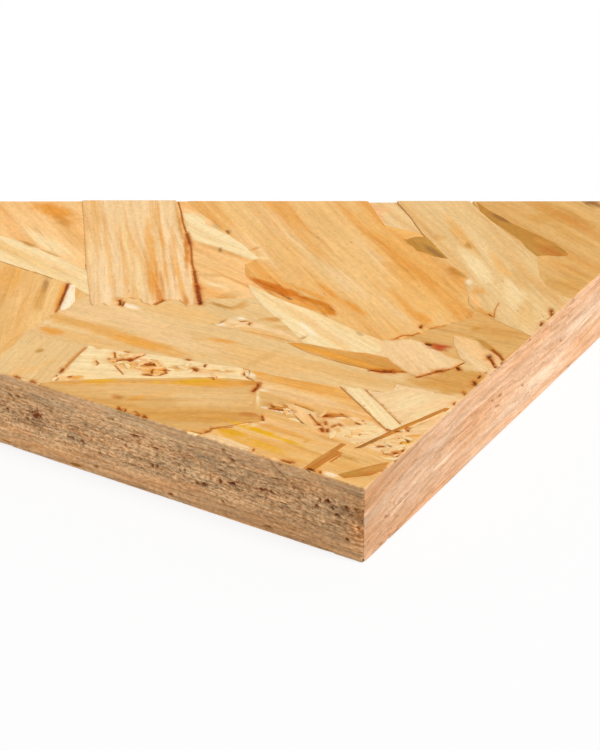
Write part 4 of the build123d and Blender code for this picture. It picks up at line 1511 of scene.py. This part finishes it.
def add_relief(tree, shader, height, distance):
    relief = node(tree, "ShaderNodeBump")
    relief.inputs["Strength"].default_value = 1.0
    relief.inputs["Distance"].default_value = distance * MM
    link(tree, height, relief.inputs["Height"])
    link(tree, relief.outputs["Normal"], shader.inputs["Normal"])


def strand_material():
    """Strand faces: long wavering streaks, fine fibres, mottling and resin flecks."""
    material, tree, shader, tint, grain, figure = wood_shader("strand_wood", STRAND_ROUGHNESS)
    wander = noise_of(tree, grain, (0.02, 0.04, 1), 2)
    grain = moved(tree, grain, spread(tree, wander, 0, 1, -3, 3))
    streaks = noise_of(tree, grain, (0.013, 0.2, 1), 3, 0.55)
    bands = noise_of(tree, grain, (0.035, 0.7, 1), 3, 0.6)
    fibres = noise_of(tree, grain, (0.14, 3.0, 1), 2, 0.6)
    mottle = noise_of(tree, grain, (0.7, 1.3, 1), 3, 0.7)
    warm = product(tree, spread(tree, streaks, 0.46, 0.68, 0, 1.0), figure)
    colour = mixed(tree, warm, tint, WARM, "MULTIPLY")
    orange = product(tree, spread(tree, bands, 0.55, 0.75, 0, 0.9), figure)
    colour = mixed(tree, orange, colour, ORANGE, "MULTIPLY")
    pale = product(tree, spread(tree, streaks, 0.46, 0.28, 0, 0.8), figure)
    colour = mixed(tree, pale, colour, FADED, "MULTIPLY")
    value = product(
        tree,
        spread(tree, bands, 0.3, 0.7, 1.05, 0.94),
        spread(tree, fibres, 0.3, 0.7, 0.92, 1.05),
        spread(tree, mottle, 0.3, 0.7, 0.91, 1.07),
    )
    colour = shaded(tree, colour, value)
    flecks = noise_of(tree, grain, (0.45, 2.4, 1), 2, 0.5)
    colour = mixed(tree, spread(tree, flecks, 0.70, 0.77, 0, 0.6), colour, FLECK)
    link(tree, colour, shader.inputs["Base Color"])
    height = maths(tree, "ADD", bands, maths(tree, "MULTIPLY", fibres, 0.3))
    add_relief(tree, shader, maths(tree, "ADD", height, mottle), STRAND_RELIEF)
    return material


def edge_material():
    """Sawn edges: torn fibres along the edge and crumbled end grain."""
    material, tree, shader, tint, grain, crumble = wood_shader("edge_wood", EDGE_ROUGHNESS)
    specks = noise_of(tree, grain, (0.9, 1.9, 1), 3, 0.65)
    lines = noise_of(tree, grain, (0.08, 1.9, 1), 3, 0.65)
    deep = weighed(tree, crumble, 0.75, 0.1)
    swing = spread(tree, specks, 0.25, 0.75, -0.85, 0.7)
    crumbled = weighed(tree, swing, deep, 1.0)
    lined = weighed(tree, crumble, 0.6, 0.4)
    sway = maths(tree, "MULTIPLY", spread(tree, lines, 0.3, 0.7, -0.24, 0.18), lined)
    value = product(tree, crumbled, maths(tree, "ADD", sway, 1.0))
    colour = shaded(tree, tint, value)
    brown = spread(tree, value, 1.0, 0.5, 0, 1.0)
    colour = mixed(tree, brown, colour, BROWNED, "MULTIPLY")
    reddish = product(tree, spread(tree, lines, 0.52, 0.34, 0, 0.9), lined)
    colour = mixed(tree, reddish, colour, REDDENED, "MULTIPLY")
    grit = noise_of(tree, grain, (1.3, 2.6, 1), 2, 0.6)
    dark_grit = product(tree, spread(tree, grit, 0.60, 0.70, 0, 0.9), crumble)
    colour = mixed(tree, dark_grit, colour, DARK_GRIT)
    pale_grit = product(tree, spread(tree, grit, 0.37, 0.28, 0, 0.55), crumble)
    colour = mixed(tree, pale_grit, colour, PALE_GRIT)
    link(tree, colour, shader.inputs["Base Color"])
    height = weighed(tree, specks, 1.4, lines)
    add_relief(tree, shader, height, EDGE_RELIEF)
    return material


# Surroundings

KEY_DIRECTION = (0.62, 0.02, 0.78)
KEY_STRENGTH = 2.4
KEY_SPREAD = math.radians(28)
SKY_STRENGTH = 0.42
WHITE = (1, 1, 1, 1)
FLOOR_GAP = 0.05
FLOOR_HALF = 8000
FLOOR_TONE = (0.9, 0.9, 0.9, 1)
FLOOR_ROUGHNESS, FLOOR_SPECULAR = 0.9, 0.1
FLOOR_WHITENESS = 0.8


def show_white(tree, lit, white_kind, share, output):
    """Mixes a lit shader with plain white by a share, for the camera and mirrors alone."""
    white = node(tree, white_kind)
    white.inputs["Color"].default_value = WHITE
    white.inputs["Strength"].default_value = 1.0
    path = node(tree, "ShaderNodeLightPath")
    rays = path.outputs["Is Camera Ray"]
    for kind in ("Is Glossy Ray", "Is Transmission Ray"):
        rays = maths(tree, "MAXIMUM", rays, path.outputs[kind])
    mix = node(tree, "ShaderNodeMixShader")
    link(tree, maths(tree, "MULTIPLY", rays, share), mix.inputs[0])
    link(tree, lit, mix.inputs[1])
    link(tree, white.outputs[0], mix.inputs[2])
    link(tree, mix.outputs[0], output)


def make_sky():
    world = bpy.data.worlds.new("studio")
    bpy.context.scene.world = world
    world.use_nodes = True
    tree = world.node_tree
    sky = tree.nodes["Background"]
    sky.inputs["Color"].default_value = WHITE
    sky.inputs["Strength"].default_value = SKY_STRENGTH
    output = tree.nodes["World Output"].inputs["Surface"]
    show_white(tree, sky.outputs[0], "ShaderNodeBackground", 1.0, output)


def make_floor():
    mesh = bpy.data.meshes.new("floor")
    signs = ((-1, -1), (1, -1), (1, 1), (-1, 1))
    corners = [(x * FLOOR_HALF * MM, y * FLOOR_HALF * MM, -FLOOR_GAP * MM) for x, y in signs]
    mesh.from_pydata(corners, [], [(0, 1, 2, 3)])
    floor = bpy.data.objects.new("floor", mesh)
    bpy.context.scene.collection.objects.link(floor)
    material = bpy.data.materials.new("pale_floor")
    material.use_nodes = True
    tree = material.node_tree
    shader = tree.nodes["Principled BSDF"]
    shader.inputs["Base Color"].default_value = FLOOR_TONE
    shader.inputs["Roughness"].default_value = FLOOR_ROUGHNESS
    shader.inputs["Specular IOR Level"].default_value = FLOOR_SPECULAR
    output = tree.nodes["Material Output"].inputs["Surface"]
    show_white(tree, shader.outputs[0], "ShaderNodeEmission", FLOOR_WHITENESS, output)
    mesh.materials.append(material)


def make_key_light():
    sun = bpy.data.lights.new("key", "SUN")
    sun.energy = KEY_STRENGTH
    sun.angle = KEY_SPREAD
    lamp = bpy.data.objects.new("key", sun)
    away = np.array(KEY_DIRECTION) / np.linalg.norm(KEY_DIRECTION)
    side = np.cross((0, 1, 0), away)
    side /= np.linalg.norm(side)
    lamp.matrix_world = placed_at((0, 0, 0), side, np.cross(away, side), away)
    bpy.context.scene.collection.objects.link(lamp)


def placed_at(place, right, up, back):
    """The matrix of a lamp or camera from its place and its three directions."""
    rows = [[right[i], up[i], back[i], place[i]] for i in range(3)]
    return Matrix(rows + [[0, 0, 0, 1]])


# Camera: turned and raised as in the photograph, aimed near the corner

CAMERA_TURN = math.radians(31.13)
CAMERA_RISE = math.radians(29.82)
CAMERA_DISTANCE = 537.1
CAMERA_RIGHT = -12.71
CAMERA_UP = 22.22
FOCAL_PIXELS = 2731.4
FRAME_PIXELS = 750
SENSOR = 36.0
NEAR_LIMIT = 50
FAR_LIMIT = 648.3


def make_camera():
    """The photograph's picture ends at a far limit, past which only white shows."""
    turn, rise = CAMERA_TURN, CAMERA_RISE
    right = np.array([math.cos(turn), math.sin(turn), 0])
    back = np.array([math.sin(turn) * math.cos(rise), -math.cos(turn) * math.cos(rise), math.sin(rise)])
    up = np.cross(back, right)
    place = np.array([*CORNER, TOP]) + back * CAMERA_DISTANCE + right * CAMERA_RIGHT + up * CAMERA_UP
    data = bpy.data.cameras.new("photo_camera")
    data.sensor_width = SENSOR
    data.lens = FOCAL_PIXELS / FRAME_PIXELS * SENSOR
    data.clip_start = NEAR_LIMIT * MM
    data.clip_end = FAR_LIMIT * MM
    camera = bpy.data.objects.new("photo_camera", data)
    camera.matrix_world = placed_at(place * MM, right, up, back)
    bpy.context.scene.collection.objects.link(camera)
    bpy.context.scene.camera = camera


# The whole scene

make_sky()
make_floor()
make_key_light()
make_camera()
add_crumb_pits()
place_marks()
strand_wood = strand_material()
plates_top = face_pieces("strands_top", 11, False, strand_wood)
plates_under = face_pieces("strands_under", 12, True, strand_wood)
edge_pieces(edge_material(), plates_top, plates_under)

bpy.context.scene.view_settings.view_transform = "Standard"
